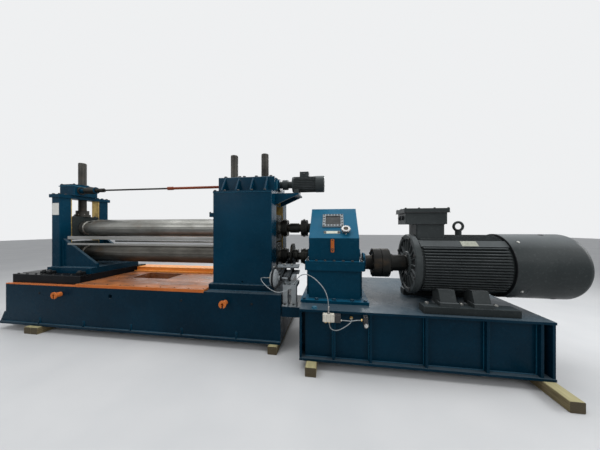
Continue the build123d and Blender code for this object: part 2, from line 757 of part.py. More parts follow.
def fixed_foot():
    """Foot plate that the fixed stand's walls stand on."""
    half = STAND_HALF_WIDTH + FOOT_MARGIN
    foot = block(-FOOT_MARGIN, STAND_RIGHT + FOOT_MARGIN, -half, half, BED_TOP, FOOT_TOP)
    return eased(foot, STAND_CHAMFER, Axis.Z)


def fixed_wall(side):
    """One side wall of the fixed stand."""
    inner = side * (WINDOW_HALF_WIDTH + LINER_THICKNESS)
    outer = side * STAND_HALF_WIDTH
    low, high = sorted((inner, outer))
    wall = block(0, STAND_RIGHT, low, high, FOOT_TOP, WALL_TOP)
    wall = eased(wall, STAND_CHAMFER, Axis.Z)
    hole_z = FOOT_TOP + WALL_HOLE_RISE
    wall -= disc_y(WALL_HOLE_X, outer + side, outer - side * WALL_HOLE_DEPTH, hole_z, WALL_HOLE_R)
    if side < 0:
        depth, width, height = SIDE_BLOCK
        y0 = outer + SIDE_BLOCK_INSET
        bottom = SIDE_BLOCK_Z - height / 2
        wall += block(-depth, WELD, y0, y0 + width, bottom, bottom + height)
    return wall


def liner(x0, x1, side, bottom, top):
    """Bronze guide strip on one face of a chock window."""
    inner = side * WINDOW_HALF_WIDTH
    low, high = sorted((inner, inner + side * LINER_THICKNESS))
    return block(x0 + LINER_INSET, x1 - LINER_INSET, low, high, bottom, top)


def fixed_top_plate():
    """Cap plate across both walls, bored for the two screws."""
    plate = block(0, STAND_RIGHT, -STAND_HALF_WIDTH, STAND_HALF_WIDTH, WALL_TOP, GEARCASE_BOTTOM)
    for x in DRIVE_SCREW_X:
        plate -= disc_z(x, 0, WALL_TOP - 1, GEARCASE_BOTTOM + 1, SCREW_R + SCREW_GAP)
    return plate


def screw_gearcase():
    """Gearcase of the two screws: sloping gussets on both long sides, screw glands on top."""
    half = GEARCASE_HALF_WIDTH
    case = block(0, STAND_RIGHT, -half, half, GEARCASE_BOTTOM, GEARCASE_TOP)
    case = eased(case, STAND_CHAMFER, Axis.X)
    pitch = STAND_LENGTH / GEARCASE_GUSSETS
    for side in (-1, 1):
        gusset = [
            (side * (half - WELD), GEARCASE_BOTTOM),
            (side * (half + GUSSET_REACH), GEARCASE_BOTTOM),
            (side * (half + GUSSET_REACH), GEARCASE_BOTTOM + GUSSET_TOE),
            (side * (half - WELD), GEARCASE_TOP - GUSSET_DROP),
        ]
        for n in range(GEARCASE_GUSSETS):
            x = pitch * (n + 0.5)
            case += yz_plate(gusset, x - GUSSET_THICKNESS / 2, x + GUSSET_THICKNESS / 2)
    for x in DRIVE_SCREW_X:
        case += disc_z(x, 0, GEARCASE_TOP - WELD, GEARCASE_TOP + GLAND_HEIGHT, GLAND_R)
        case -= disc_z(x, 0, GEARCASE_BOTTOM - 1, GEARCASE_TOP + GLAND_HEIGHT + 1, SCREW_R + SCREW_GAP)
    case += disc_x(STAND_RIGHT - WELD, STAND_RIGHT + SCREW_GLAND, WORM_Y, WORM_Z, GLAND_R)
    return case + disc_x(-WORM_GLAND_LENGTH, WELD, WORM_Y, WORM_Z, WORM_GLAND_R)


def chock(x0, x1, axis_z, cover_sides):
    """Bearing chock with eased corners, stepped round covers and a bore for the journal."""
    half = WINDOW_HALF_WIDTH - SLIDE_GAP
    low, high = axis_z - CHOCK_HALF_HEIGHT, axis_z + CHOCK_HALF_HEIGHT
    body = eased(block(x0, x1, -half, half, low, high), CHOCK_CHAMFER, Axis.X)
    for x, direction in cover_sides:
        rim = x + direction * CHOCK_COVER
        body += disc_x(x - direction, rim - direction * CHOCK_COVER_STEP, 0, axis_z, CHOCK_COVER_R)
        body += disc_x(x - direction, rim, 0, axis_z, CHOCK_COVER_INNER_R)
    reach = 2 * CHOCK_COVER
    return body - disc_x(x0 - reach, x1 + reach, 0, axis_z, JOURNAL_R + BEARING_GAP)


def drive_chock(axis_z):
    """Long chock of the fixed stand; the lower one reaches down to the foot plate."""
    left, right = CHOCK_INSET, STAND_RIGHT - CHOCK_INSET
    body = chock(left, right, axis_z, ((left, -1), (right, 1)))
    if axis_z == LOWER_AXIS_Z:
        half = WINDOW_HALF_WIDTH - SLIDE_GAP
        body += block(left, right, -half, half, FOOT_TOP, axis_z - CHOCK_HALF_HEIGHT + WELD)
    return body


def outboard_chock(axis_z):
    """Short chock of the outboard stand, covered on its outer side."""
    return chock(OUT_LEFT, OUT_RIGHT, axis_z, ((OUT_LEFT, -1),))


def screw(x):
    """Adjusting screw with its thrust collar, standing on a chock."""
    seat = UPPER_AXIS_Z + CHOCK_HALF_HEIGHT
    body = disc_z(x, 0, seat, SCREW_TOP, SCREW_R)
    body = chamfer(body.edges().sort_by(Axis.Z)[-1], SCREW_CHAMFER)
    body += disc_z(x, 0, seat, seat + COLLAR_HEIGHT, COLLAR_BODY_R)
    return body + disc_z(x, 0, seat, seat + COLLAR_FLANGE, COLLAR_R)


def arbor(z):
    """One arbor: knife seat with keyway, lock nut on its thread, seal ring and journals at both ends."""
    nut_left = ARBOR_LEFT - NUT_LENGTH
    thread_left = nut_left - THREAD_LENGTH
    ring_left = OUT_RIGHT + SEAL_RING_GAP
    left_end = OUT_LEFT - CHOCK_COVER
    right_end = ARBOR_PIVOT_X - SLEEVE_LENGTH / 2
    shoulder_r = ARBOR_R + SHOULDER_RISE
    shoulder_right = ARBOR_SHOULDER + SHOULDER_WIDTH
    body = turned(
        [
            (left_end, 0), (left_end, JOURNAL_R - JOURNAL_CHAMFER), (left_end + JOURNAL_CHAMFER, JOURNAL_R),
            (ring_left, JOURNAL_R), (ring_left, SEAL_RING_R), (thread_left - THREAD_RELIEF, SEAL_RING_R),
            (thread_left, THREAD_R), (nut_left, THREAD_R), (nut_left, NUT_R), (ARBOR_LEFT, NUT_R),
            (ARBOR_LEFT, ARBOR_R), (ARBOR_SHOULDER, ARBOR_R), (ARBOR_SHOULDER, shoulder_r),
            (shoulder_right, shoulder_r), (shoulder_right, JOURNAL_R), (right_end, JOURNAL_R), (right_end, 0),
        ],
        0, z,
    )
    half = KEYWAY_WIDTH / 2
    key_right = ARBOR_SHOULDER - KEYWAY_END
    keyway = block(ARBOR_LEFT - 1, key_right, -half, half, ARBOR_R - KEYWAY_DEPTH, ARBOR_R + 1)
    body -= Pos(0, 0, z) * Rot(KEYWAY_ANGLE, 0, 0) * keyway
    half = NUT_SLOT / 2
    slot_right = nut_left + NUT_LENGTH * NUT_SLOT_SHARE
    slot = block(nut_left - 1, slot_right, -half, half, NUT_R - NUT_SLOT_DEPTH, NUT_R + 1)
    for angle in (45, 135, 225, 315):
        body -= Pos(0, 0, z) * Rot(angle, 0, 0) * slot
    return body


def coupling_sleeve(x, z, mouth):
    """Toothed coupling sleeve round a pivot, open towards the floating shaft."""
    back = x - mouth * SLEEVE_LENGTH / 2
    front = x + mouth * SLEEVE_LENGTH / 2
    flange_back, flange_front = (x + mouth * step for step in SLEEVE_FLANGE)
    sleeve = disc_x(back, front, 0, z, SLEEVE_R) + disc_x(flange_back, flange_front, 0, z, SLEEVE_FLANGE_R)
    return sleeve - disc_x(back + mouth * SLEEVE_WALL_END, front + mouth, 0, z, HUB_R + HUB_GAP)


def crowned_hub(x, z):
    """Barrel-shaped hub of a toothed coupling: a ball with its two caps cut off."""
    ball = Pos(x, 0, z) * Sphere(HUB_R)
    return ball & disc_x(x - HUB_HALF_WIDTH, x + HUB_HALF_WIDTH, 0, z, HUB_R + 1)


def floating_shaft(z):
    """Short shaft between two toothed couplings, with a crowned hub at both ends."""
    shaft = disc_x(ARBOR_PIVOT_X, BOX_PIVOT_X, 0, z, FLOAT_SHAFT_R)
    return shaft + crowned_hub(ARBOR_PIVOT_X, z) + crowned_hub(BOX_PIVOT_X, z)


def coupling_cover():
    """Loose tube round the middle of the upper coupling shaft."""
    middle = (ARBOR_PIVOT_X + BOX_PIVOT_X) / 2
    left, right = middle - COVER_HALF_LENGTH, middle + COVER_HALF_LENGTH
    tube = disc_x(left, right, 0, UPPER_AXIS_Z, COVER_R)
    return tube - disc_x(left - 1, right + 1, 0, UPPER_AXIS_Z, FLOAT_SHAFT_R + COVER_WALL_GAP)


def lower_coupling_shaft():
    """Lower drive line between arbor and gearbox: a closed coupling at both ends of its shaft."""
    z = LOWER_AXIS_Z
    half = SLEEVE_LENGTH / 2
    shaft = disc_x(ARBOR_PIVOT_X - half, BOX_PIVOT_X + half, 0, z, FLOAT_SHAFT_R)
    for x in (ARBOR_PIVOT_X, BOX_PIVOT_X):
        shaft += disc_x(x - half, x + half, 0, z, LOWER_SLEEVE_R)
        shaft += disc_x(x - LOWER_SLEEVE_RIDGE / 2, x + LOWER_SLEEVE_RIDGE / 2, 0, z, SLEEVE_R)
    end = BOX_LEFT - FLANGE_MARGIN - CAP_THICKNESS - SEAL_GAP
    return shaft + disc_x(BOX_PIVOT_X, end, 0, z, OUTPUT_SHAFT_R)


def brake_disc():
    """Brake disc with its hub, shrunk on the lower coupling shaft."""
    half = DISC_THICKNESS / 2
    disc = disc_x(DISC_X - half, DISC_X + half, 0, LOWER_AXIS_Z, DISC_R)
    disc = chamfer(disc.edges(), DISC_CHAMFER)
    disc += disc_x(DISC_X - half, DISC_X + DISC_HUB_LENGTH, 0, LOWER_AXIS_Z, DISC_HUB_R)
    return disc - disc_x(DISC_X - DISC_R, DISC_X + DISC_R, 0, LOWER_AXIS_Z, FLOAT_SHAFT_R)


def gearbox_output():
    """Upper output stub of the gearbox with its coupling sleeve."""
    left = BOX_PIVOT_X + SLEEVE_LENGTH / 2 - WELD
    stub = disc_x(left, BOX_LEFT - CAP_THICKNESS - SEAL_GAP, 0, UPPER_AXIS_Z, OUTPUT_SHAFT_R)
    return stub + coupling_sleeve(BOX_PIVOT_X, UPPER_AXIS_Z, -1)


def in_caliper(part):
    """Move a piece from the caliper's own axes, along its levers, to its place beside the disc."""
    return Pos(DISC_X, CHAMBER_Y, CHAMBER_Z) * Rot(LEVER_TILT, 0, 0) * part


def lever_middle(side):
    """Distance of a lever's middle plane from the disc's, on one side."""
    return side * (DISC_THICKNESS / 2 + PAD_GAP + PAD_THICKNESS + LEVER_THICKNESS / 2)


def brake_lever(side):
    """One caliper lever with its pivot boss and brake pad, lying along Y in the caliper's axes."""
    middle = lever_middle(side)
    half = LEVER_THICKNESS / 2
    tip, height = LEVER_TIP_HEIGHT / 2, LEVER_HEIGHT / 2
    outline = [
        (0, -tip), (LEVER_PIVOT, -height), (LEVER_REACH, -tip),
        (LEVER_REACH, tip), (LEVER_PIVOT, height), (0, tip),
    ]
    lever = yz_plate(outline, middle - half, middle + half)
    for y in (0, LEVER_REACH):
        lever += disc_x(middle - half, middle + half, y, 0, LEVER_TIP_R)
    lever += disc_z(middle, LEVER_PIVOT, -height, height, LEVER_BOSS_R)
    pad_face = side * (DISC_THICKNESS / 2 + PAD_GAP)
    pad_back = middle - side * (half - WELD)
    pad = block(pad_face, pad_back, -PAD_LENGTH / 2, PAD_LENGTH / 2, -PAD_HEIGHT / 2, PAD_HEIGHT / 2)
    lever += Pos(0, LEVER_REACH, 0) * eased(pad, STAND_CHAMFER, Axis.X)
    lever -= disc_z(middle, LEVER_PIVOT, -height - 1, height + 1, PIN_R + PIN_GAP)
    if side < 0:
        lever -= disc_x(middle - LEVER_TIP_R, middle + LEVER_TIP_R, 0, 0, PUSH_ROD_R + PIN_GAP)
    return in_caliper(lever)


def brake_caliper():
    """Caliper body: two bridge plates that hold the lever pins, on a pedestal, carrier and two posts."""
    reach = abs(lever_middle(1)) + BRIDGE_MARGIN
    inner = LEVER_HEIGHT / 2 + PIN_GAP
    outer = inner + BRIDGE_THICKNESS
    front, rear = LEVER_PIVOT - BRIDGE_HALF_LENGTH, LEVER_PIVOT + BRIDGE_HALF_LENGTH
    body = block(-reach, reach, front, rear, -outer, -inner)
    body += block(-reach, reach, front, rear, inner, outer)
    for side in (-1, 1):
        body += disc_z(lever_middle(side), LEVER_PIVOT, -outer - PIN_PROUD, outer + PIN_PROUD, PIN_R)
    body = in_caliper(body)
    tilt = math.radians(LEVER_TILT)
    corners = [(y * math.cos(tilt) + inner * math.sin(tilt), y * math.sin(tilt) - inner * math.cos(tilt))
               for y in (front, rear)]
    (y0, z0), (y1, z1) = [(CHAMBER_Y + y, CHAMBER_Z + z - WELD) for y, z in corners]
    half = PEDESTAL_THICKNESS / 2
    pedestal = [(PEDESTAL_FRONT, POST_TOP), (y0, z0), (y1, z1), (PEDESTAL_REAR, POST_TOP)]
    body += yz_plate(pedestal, DISC_X - half, DISC_X + half)
    half = POST_WIDTH / 2
    left, right = POST_PLACES[0] - half, POST_PLACES[1] + half
    body += block(left, right, POST_FRONT, CARRIER_REAR, POST_TOP, POST_TOP + CARRIER_THICKNESS)
    foot = half + POST_FOOT_MARGIN
    foot_front, foot_rear = POST_FRONT - POST_FOOT_MARGIN_Y, POST_REAR + POST_FOOT_MARGIN_Y
    for x in POST_PLACES:
        body += block(x - half, x + half, POST_FRONT, POST_REAR, SHELF_TOP + POST_FOOT, POST_TOP)
        body += block(x - foot, x + foot, foot_front, foot_rear, SHELF_TOP, SHELF_TOP + POST_FOOT)
    return body


def brake_chamber():
    """Diaphragm chamber of the brake, two bulging halves clamped at a rim, with its push rod."""
    half = CHAMBER_THICKNESS / 2
    rim = CHAMBER_RIM / 2
    bowl = [(half * thickness, CHAMBER_R * radius) for thickness, radius in CHAMBER_BOWL]
    seat = CHAMBER_R * CHAMBER_SEAT
    right = [(CHAMBER_X + x, r) for x, r in bowl + [(rim, seat), (rim, CHAMBER_R)]]
    left = [(2 * CHAMBER_X - x, r) for x, r in right]
    profile = [(CHAMBER_X - half, 0)] + left + right[::-1] + [(CHAMBER_X + half, 0)]
    chamber = turned(profile, CHAMBER_Y, CHAMBER_Z)
    near_lever = DISC_X + lever_middle(-1) - LEVER_THICKNESS / 2
    far_lever = DISC_X + lever_middle(1) - LEVER_THICKNESS / 2
    chamber += disc_x(CHAMBER_X + half - WELD, near_lever, CHAMBER_Y, CHAMBER_Z, CHAMBER_NECK_R)
    return chamber + disc_x(near_lever - WELD, far_lever, CHAMBER_Y, CHAMBER_Z, PUSH_ROD_R)


def outboard_base():
    """Sliding base of the outboard stand with two sloping buttress plates."""
    half = OUT_BASE_HALF_WIDTH
    base = block(OUT_BASE_LEFT, OUT_BASE_RIGHT, -half, half, TABLE_TOP + SLIDE_GAP, OUT_BASE_TOP)
    base = eased(base, STAND_CHAMFER, Axis.Z)
    outline = [
        (OUT_RIGHT, OUT_BASE_TOP - WELD), (OUT_BASE_RIGHT, OUT_BASE_TOP - WELD),
        (OUT_BASE_RIGHT, BUTTRESS_TOE), (OUT_RIGHT, BUTTRESS_TOP),
    ]
    for side in (-1, 1):
        y = side * BUTTRESS_Y
        plate = xz_plate(outline, y - BUTTRESS_THICKNESS / 2, y + BUTTRESS_THICKNESS / 2)
        upright_edges = plate.edges().filter_by(Axis.Y).group_by(Axis.X)[-1]
        base += fillet(upright_edges.sort_by(Axis.Z)[-1], BUTTRESS_FILLET)
    return base


def outboard_upright(side):
    """One upright of the outboard stand."""
    low, high = sorted((side * (WINDOW_HALF_WIDTH + LINER_THICKNESS), side * OUT_HALF_WIDTH))
    return eased(block(OUT_LEFT, OUT_RIGHT, low, high, OUT_BASE_TOP, OUT_WALL_TOP), STAND_CHAMFER, Axis.Z)


def outboard_top_plate():
    """Cap plate of the outboard stand, bored for its screw."""
    half = OUT_HALF_WIDTH + OUT_PLATE_MARGIN
    left, right = OUT_LEFT - OUT_PLATE_MARGIN, OUT_RIGHT + OUT_PLATE_MARGIN
    plate = block(left, right, -half, half, OUT_WALL_TOP, OUT_PLATE_TOP)
    return plate - disc_z(OUT_CENTRE, 0, OUT_WALL_TOP - 1, OUT_PLATE_TOP + 1, SCREW_R + SCREW_GAP)


def outboard_worm_box():
    """Worm gearcase of the outboard screw, with the ribbed input boss towards the fixed stand."""
    bottom = OUT_PLATE_TOP
    top = bottom + WORM_BOX_HEIGHT
    case = block(WORM_BOX_LEFT, WORM_BOX_RIGHT, WORM_BOX_FRONT, WORM_BOX_REAR, bottom, top)
    case = fillet(case.edges().filter_by(Axis.Z), WORM_BOX_FILLET)
    neck_end = WORM_BOX_RIGHT + BOSS_NECK
    case += disc_x(WORM_BOX_RIGHT - WELD, neck_end, WORM_Y, WORM_Z, BOSS_NECK_R)
    case += disc_x(neck_end - WELD, BOSS_RIGHT, WORM_Y, WORM_Z, BOSS_R)
    middle = (neck_end + BOSS_RIGHT) / 2
    for x in (neck_end, middle - BOSS_RIB_WIDTH / 2, BOSS_RIGHT - BOSS_RIB_WIDTH):
        case += disc_x(x, x + BOSS_RIB_WIDTH, WORM_Y, WORM_Z, BOSS_RIB_R)
    case += disc_z(OUT_CENTRE, 0, top - WELD, top + GLAND_HEIGHT, GLAND_R)
    return case - disc_z(OUT_CENTRE, 0, bottom - 1, top + GLAND_HEIGHT + 1, SCREW_R + SCREW_GAP)


def sync_rod():
    """Thin shaft with its waisted joint at the worm box, telescoping into the tube."""
    left = BOSS_RIGHT + SYNC_GAP
    waist = left + JOINT_WAIST_START
    body = disc_x(left, waist, WORM_Y, WORM_Z, JOINT_R)
    body += disc_x(waist - WELD, waist + JOINT_WAIST + WELD, WORM_Y, WORM_Z, WORM_SHAFT_R)
    body += disc_x(waist + JOINT_WAIST, JOINT_RIGHT, WORM_Y, WORM_Z, JOINT_R)
    return body + disc_x(JOINT_RIGHT - WELD, SYNC_ROD_RIGHT, WORM_Y, WORM_Z, SYNC_ROD_R)


def sync_tube():
    """Tube of the telescoping shaft, with a clamp collar at its mouth."""
    right = -WORM_GLAND_LENGTH - SYNC_GAP
    tube = disc_x(SYNC_TUBE_LEFT, right, WORM_Y, WORM_Z, SYNC_TUBE_R)
    tube += disc_x(SYNC_TUBE_LEFT, SYNC_TUBE_LEFT + SYNC_COLLAR_LENGTH, WORM_Y, WORM_Z, SYNC_COLLAR_R)
    return tube - disc_x(SYNC_TUBE_LEFT - 1, right - SYNC_TUBE_PLUG, WORM_Y, WORM_Z, SYNC_TUBE_BORE)


def stripper_bars():
    """Flat bars that carry stripper rings, two in front of and two behind the arbors."""
    bars = []
    for side in (-1, 1):
        front, rear = side * (BAR_Y - BAR_DEPTH / 2), side * (BAR_Y + BAR_DEPTH / 2)
        for z, height in ((BAR_UPPER_Z, BAR_UPPER_HEIGHT), (BAR_LOWER_Z, BAR_LOWER_HEIGHT)):
            bar = block(BAR_LEFT, 0, front, rear, z - height / 2, z + height / 2)
            bars.append(eased(bar, BAR_CHAMFER, Axis.X))
    return bars


def screw_motor():
    """Finned flange motor of the screws, with terminal box, fan cowl, foot and clutch housing."""
    y, z = WORM_Y, WORM_Z
    left = SCREW_MOTOR_LEFT
    body_right = left + SCREW_MOTOR_BODY
    body = disc_x(left, body_right, y, z, SCREW_MOTOR_CORE_R)
    fins = Pos(0, y, z) * Rot(90 / SCREW_MOTOR_FINS, 0, 0)
    half = SCREW_MOTOR_FIN / 2
    fin = block(left + SCREW_MOTOR_FLANGE - WELD, body_right, -half, half, SCREW_MOTOR_CORE_R - half, SCREW_MOTOR_R)
    for n in range(SCREW_MOTOR_FINS):
        body += fins * Rot(360 * n / SCREW_MOTOR_FINS, 0, 0) * fin
    body += disc_x(left, left + SCREW_MOTOR_FLANGE, y, z, SCREW_MOTOR_R)
    cowl = disc_x(body_right - WELD, body_right + SCREW_MOTOR_COWL, y, z, SCREW_MOTOR_COWL_R)
    body += fillet(cowl.edges().sort_by(Axis.X)[-1], SCREW_MOTOR_COWL_FILLET)
    length, width, height = SCREW_MOTOR_BOX
    box_left = left + SCREW_MOTOR_BOX_START
    box_bottom = z + SCREW_MOTOR_CORE_R - half
    box = block(box_left, box_left + length, y - width / 2, y + width / 2, box_bottom, box_bottom + height)
    body += fillet(box.edges().filter_by(Axis.Z), SCREW_MOTOR_BOX_FILLET)
    length, width = SCREW_MOTOR_FOOT
    foot_left = left + SCREW_MOTOR_FOOT_START
    foot_top = z - SCREW_MOTOR_R + SCREW_MOTOR_FOOT_OVERLAP
    body += block(foot_left, foot_left + length, y - width / 2, y + width / 2, WALL_TOP, foot_top)
    neck = STAND_RIGHT + SCREW_GLAND
    clutch = neck + SCREW_CLUTCH_START
    body += disc_x(neck, left + WELD, y, z, SCREW_NECK_R)
    return body + disc_x(clutch, clutch + SCREW_CLUTCH_LENGTH, y, z, SCREW_CLUTCH_R)


def screw_motor_bracket():
    """Bracket plate on the fixed stand with two sloping gussets."""
    bottom = WALL_TOP - PLATE
    bracket = block(STAND_RIGHT, BRACKET_RIGHT, BRACKET_FRONT, BRACKET_REAR, bottom, WALL_TOP)
    outline = [
        (STAND_RIGHT, bottom + WELD), (BRACKET_RIGHT - BRACKET_TIP, bottom + WELD),
        (STAND_RIGHT, WALL_TOP - BRACKET_ROOT),
    ]
    for y in (BRACKET_FRONT, BRACKET_REAR - PLATE):
        bracket += xz_plate(outline, y, y + PLATE)
    return bracket


def drive_base():
    """Welded drive base: recessed panels between ribs, top plate, bottom flange and the brake shelf."""
    left, right = DRIVE_LEFT, DRIVE_RIGHT
    inset = PANEL_RECESS
    base = block(left, right, DRIVE_FRONT, DRIVE_REAR, DRIVE_TOP - PLATE, DRIVE_TOP)
    base += block(left, right, DRIVE_FRONT, DRIVE_REAR, BED_BOTTOM, BED_BOTTOM + PLATE)
    base += block(left + inset, right - inset, DRIVE_FRONT + inset, DRIVE_REAR - inset, BED_BOTTOM, DRIVE_TOP)
    rib_places = [left + offset for offset in DRIVE_RIB_OFFSETS] + [right - DRIVE_LAST_RIB, right - PLATE]
    for x in rib_places:
        base += block(x, x + PLATE, DRIVE_FRONT + RIB_INSET, DRIVE_REAR - RIB_INSET, BED_BOTTOM, DRIVE_TOP)
    front_wall, rear_wall = DRIVE_WALL_INSETS
    for y in (DRIVE_FRONT + front_wall, -PLATE / 2, DRIVE_REAR - rear_wall):
        base += block(left + RIB_INSET, right - RIB_INSET, y, y + PLATE, BED_BOTTOM, DRIVE_TOP)
    shelf_left = BED_RIGHT + SHELF_GAP
    return base + block(shelf_left, left + inset, SHELF_FRONT, SHELF_REAR, SHELF_TOP - SHELF_HEIGHT, SHELF_TOP)


def gearbox_flange(bottom, top):
    """One half of the gearbox's joint flange."""
    rim = FLANGE_MARGIN
    reach = BOX_HALF_DEPTH + rim
    flange = block(BOX_LEFT - rim, BOX_RIGHT + rim, -reach, reach, bottom, top)
    return fillet(flange.edges().filter_by(Axis.Z), BOX_FILLET * 2)


def gearbox_lower_case():
    """Lower half of the gearbox: foot flange, thick joint flange and a rib below each bearing."""
    split = LOWER_AXIS_Z
    case = block(BOX_LEFT, BOX_RIGHT, -BOX_HALF_DEPTH, BOX_HALF_DEPTH, DRIVE_TOP, split)
    foot = BOX_HALF_DEPTH + BOX_FOOT_MARGIN_Y
    left, right = BOX_LEFT - BOX_FOOT_MARGIN, BOX_RIGHT + BOX_FOOT_MARGIN
    case += block(left, right, -foot, foot, DRIVE_TOP, DRIVE_TOP + BOX_FOOT)
    half = BOX_RIB_THICKNESS / 2
    rib_left, rib_right = BOX_LEFT - BOX_RIB_REACH, BOX_RIGHT + BOX_RIB_REACH
    for y in (INPUT_Y, 0):
        case += block(rib_left, rib_right, y - half, y + half, DRIVE_TOP + BOX_FOOT - WELD, split - FLANGE_LOWER + WELD)
    return case + gearbox_flange(split - FLANGE_LOWER, split)


def gearbox_upper_case():
    """Upper half of the gearbox: upright shoulders, sloping faces and a flat top."""
    split = LOWER_AXIS_Z
    outline = [
        (-BOX_HALF_DEPTH, split), (-BOX_HALF_DEPTH, BOX_SHOULDER), (-BOX_TOP_HALF, BOX_TOP),
        (BOX_TOP_HALF, BOX_TOP), (BOX_HALF_DEPTH, BOX_SHOULDER), (BOX_HALF_DEPTH, split),
    ]
    case = yz_plate(outline, BOX_LEFT, BOX_RIGHT - BOX_UPPER_INSET)
    case = fillet(case.edges().filter_by(Axis.X).sort_by(Axis.Z)[2:], BOX_FILLET)
    return case + gearbox_flange(split, split + FLANGE_UPPER)


def slope_place(share, x):
    """A frame on the gearbox's front slope: its origin at a share of the slope's height, Z outwards."""
    run = BOX_HALF_DEPTH - BOX_TOP_HALF
    rise = BOX_TOP - BOX_SHOULDER
    angle = math.degrees(math.atan2(rise, run))
    return Pos(x, -BOX_HALF_DEPTH + share * run, BOX_SHOULDER + share * rise) * Rot(angle, 0, 0)


def inspection_window():
    """Frame round a pane on the gearbox's front slope."""
    frame = Pos(0, 0, INSPECTION_PROUD / 2) * Box(INSPECTION_WIDTH, INSPECTION_HEIGHT, INSPECTION_PROUD)
    frame = chamfer(frame.edges().group_by(Axis.Z)[-1], INSPECTION_CHAMFER)
    inner = INSPECTION_FRAME * 2
    recess_depth = INSPECTION_PROUD - INSPECTION_PANE
    recess = Box(INSPECTION_WIDTH - inner, INSPECTION_HEIGHT - inner, recess_depth * 2)
    return slope_place(INSPECTION_SHARE, INSPECTION_X) * (frame - Pos(0, 0, INSPECTION_PROUD) * recess)


def breather():
    """Filler and breather cap on the gearbox's front slope."""
    neck = Pos(0, 0, BREATHER_NECK / 2) * Cylinder(BREATHER_NECK_R, BREATHER_NECK)
    cap = Pos(0, 0, BREATHER_NECK + BREATHER_CAP / 2 - WELD) * Cylinder(BREATHER_R, BREATHER_CAP)
    cap = fillet(cap.edges().sort_by(Axis.Z)[-1], BREATHER_FILLET)
    return slope_place(BREATHER_SHARE, BREATHER_X) * (neck + cap)


def oil_gauge():
    """Upright oil level gauge on the gearbox's front face."""
    front = -BOX_HALF_DEPTH
    half = GAUGE_WIDTH / 2
    gauge = block(GAUGE_X - half, GAUGE_X + half, front - GAUGE_DEPTH, front, GAUGE_Z, GAUGE_Z + GAUGE_HEIGHT)
    return fillet(gauge.edges().filter_by(Axis.Y), GAUGE_FILLET)


def bearing_cap(x, direction, y, z, radius):
    """One round bearing cover with a raised, chamfered middle."""
    lip = x + direction * (CAP_THICKNESS - CAP_LIP)
    face = x + direction * CAP_THICKNESS
    face_r = radius * CAP_FACE_SHARE
    profile = [
        (x, 0), (x, radius), (lip, radius), (lip, face_r), (face, face_r - CAP_CHAMFER), (face, 0),
    ]
    return turned(profile, y, z)


def bearing_caps():
    """Round bearing covers on both sides of the gearbox."""
    left, right = BOX_LEFT, BOX_RIGHT
    return [
        bearing_cap(right + FLANGE_MARGIN, 1, INPUT_Y, LOWER_AXIS_Z, INPUT_CAP_R),
        bearing_cap(right + FLANGE_MARGIN, 1, 0, LOWER_AXIS_Z, OUTPUT_CAP_R),
        bearing_cap(right - BOX_UPPER_INSET, 1, 0, UPPER_AXIS_Z, OUTPUT_CAP_R),
        bearing_cap(left - FLANGE_MARGIN, -1, 0, LOWER_AXIS_Z, OUTPUT_CAP_R),
        bearing_cap(left, -1, 0, UPPER_AXIS_Z, OUTPUT_CAP_R),
    ]


def input_coupling():
    """Gearbox input shaft, two drum halves joined by pins, and the motor shaft, in one line."""
    y, z = INPUT_Y, LOWER_AXIS_Z
    left = BOX_RIGHT + FLANGE_MARGIN + CAP_THICKNESS + SEAL_GAP
    middle = (COUPLING_LEFT + COUPLING_RIGHT) / 2
    line = disc_x(left, middle, y, z, INPUT_SHAFT_R)
    line += disc_x(middle - WELD, BELL_LEFT - SEAL_GAP, y, z, MOTOR_SHAFT_R)
    line += disc_x(COUPLING_RIGHT - WELD, COUPLING_RIGHT + COUPLING_HUB, y, z, COUPLING_HUB_R)
    drum = disc_x(COUPLING_LEFT, COUPLING_RIGHT, y, z, COUPLING_R)
    drum = chamfer(drum.edges(), COUPLING_CHAMFER)
    gap = disc_x(middle - COUPLING_GAP / 2, middle + COUPLING_GAP / 2, y, z, COUPLING_R + 1)
    drum -= gap - disc_x(middle - COUPLING_WEB / 2, middle + COUPLING_WEB / 2, y, z, COUPLING_R - COUPLING_RIM)
    pin = disc_x(COUPLING_LEFT - COUPLING_PIN_PROUD, COUPLING_LEFT + WELD, 0, COUPLING_PIN_CIRCLE, COUPLING_PIN_R)
    for n in range(COUPLING_PINS):
        drum += Pos(0, y, z) * Rot(360 * n / COUPLING_PINS, 0, 0) * pin
    return line + drum


def motor_end_bell():
    """Drive-end shield of the main motor: bearing boss and rim with air slots between radial ribs."""
    floor = BELL_LEFT + BELL_RECESS
    profile = [
        (BELL_LEFT, 0), (BELL_LEFT, BELL_BOSS_R - BELL_CHAMFER), (BELL_LEFT + BELL_CHAMFER, BELL_BOSS_R),
        (floor, BELL_BOSS_R), (floor, BELL_RIM_R), (BELL_LEFT + BELL_CHAMFER, BELL_RIM_R),
        (BELL_LEFT, BELL_RIM_R + BELL_CHAMFER), (BELL_LEFT, FIN_TIP_R - BELL_CHAMFER),
        (BELL_LEFT + BELL_CHAMFER, FIN_TIP_R), (BODY_LEFT - FIN_ROOT, FIN_TIP_R), (BODY_LEFT, MOTOR_R), (BODY_LEFT, 0),
    ]
    bell = turned(profile, MOTOR_Y, LOWER_AXIS_Z)
    half = BELL_RIB_THICKNESS / 2
    rib = block(BELL_LEFT + BELL_CHAMFER, floor + WELD, -half, half, BELL_BOSS_R - WELD, BELL_RIM_R + WELD)
    for n in range(BELL_RIBS):
        bell += Pos(0, MOTOR_Y, LOWER_AXIS_Z) * Rot(360 * (n + 0.5) / BELL_RIBS, 0, 0) * rib
    return bell


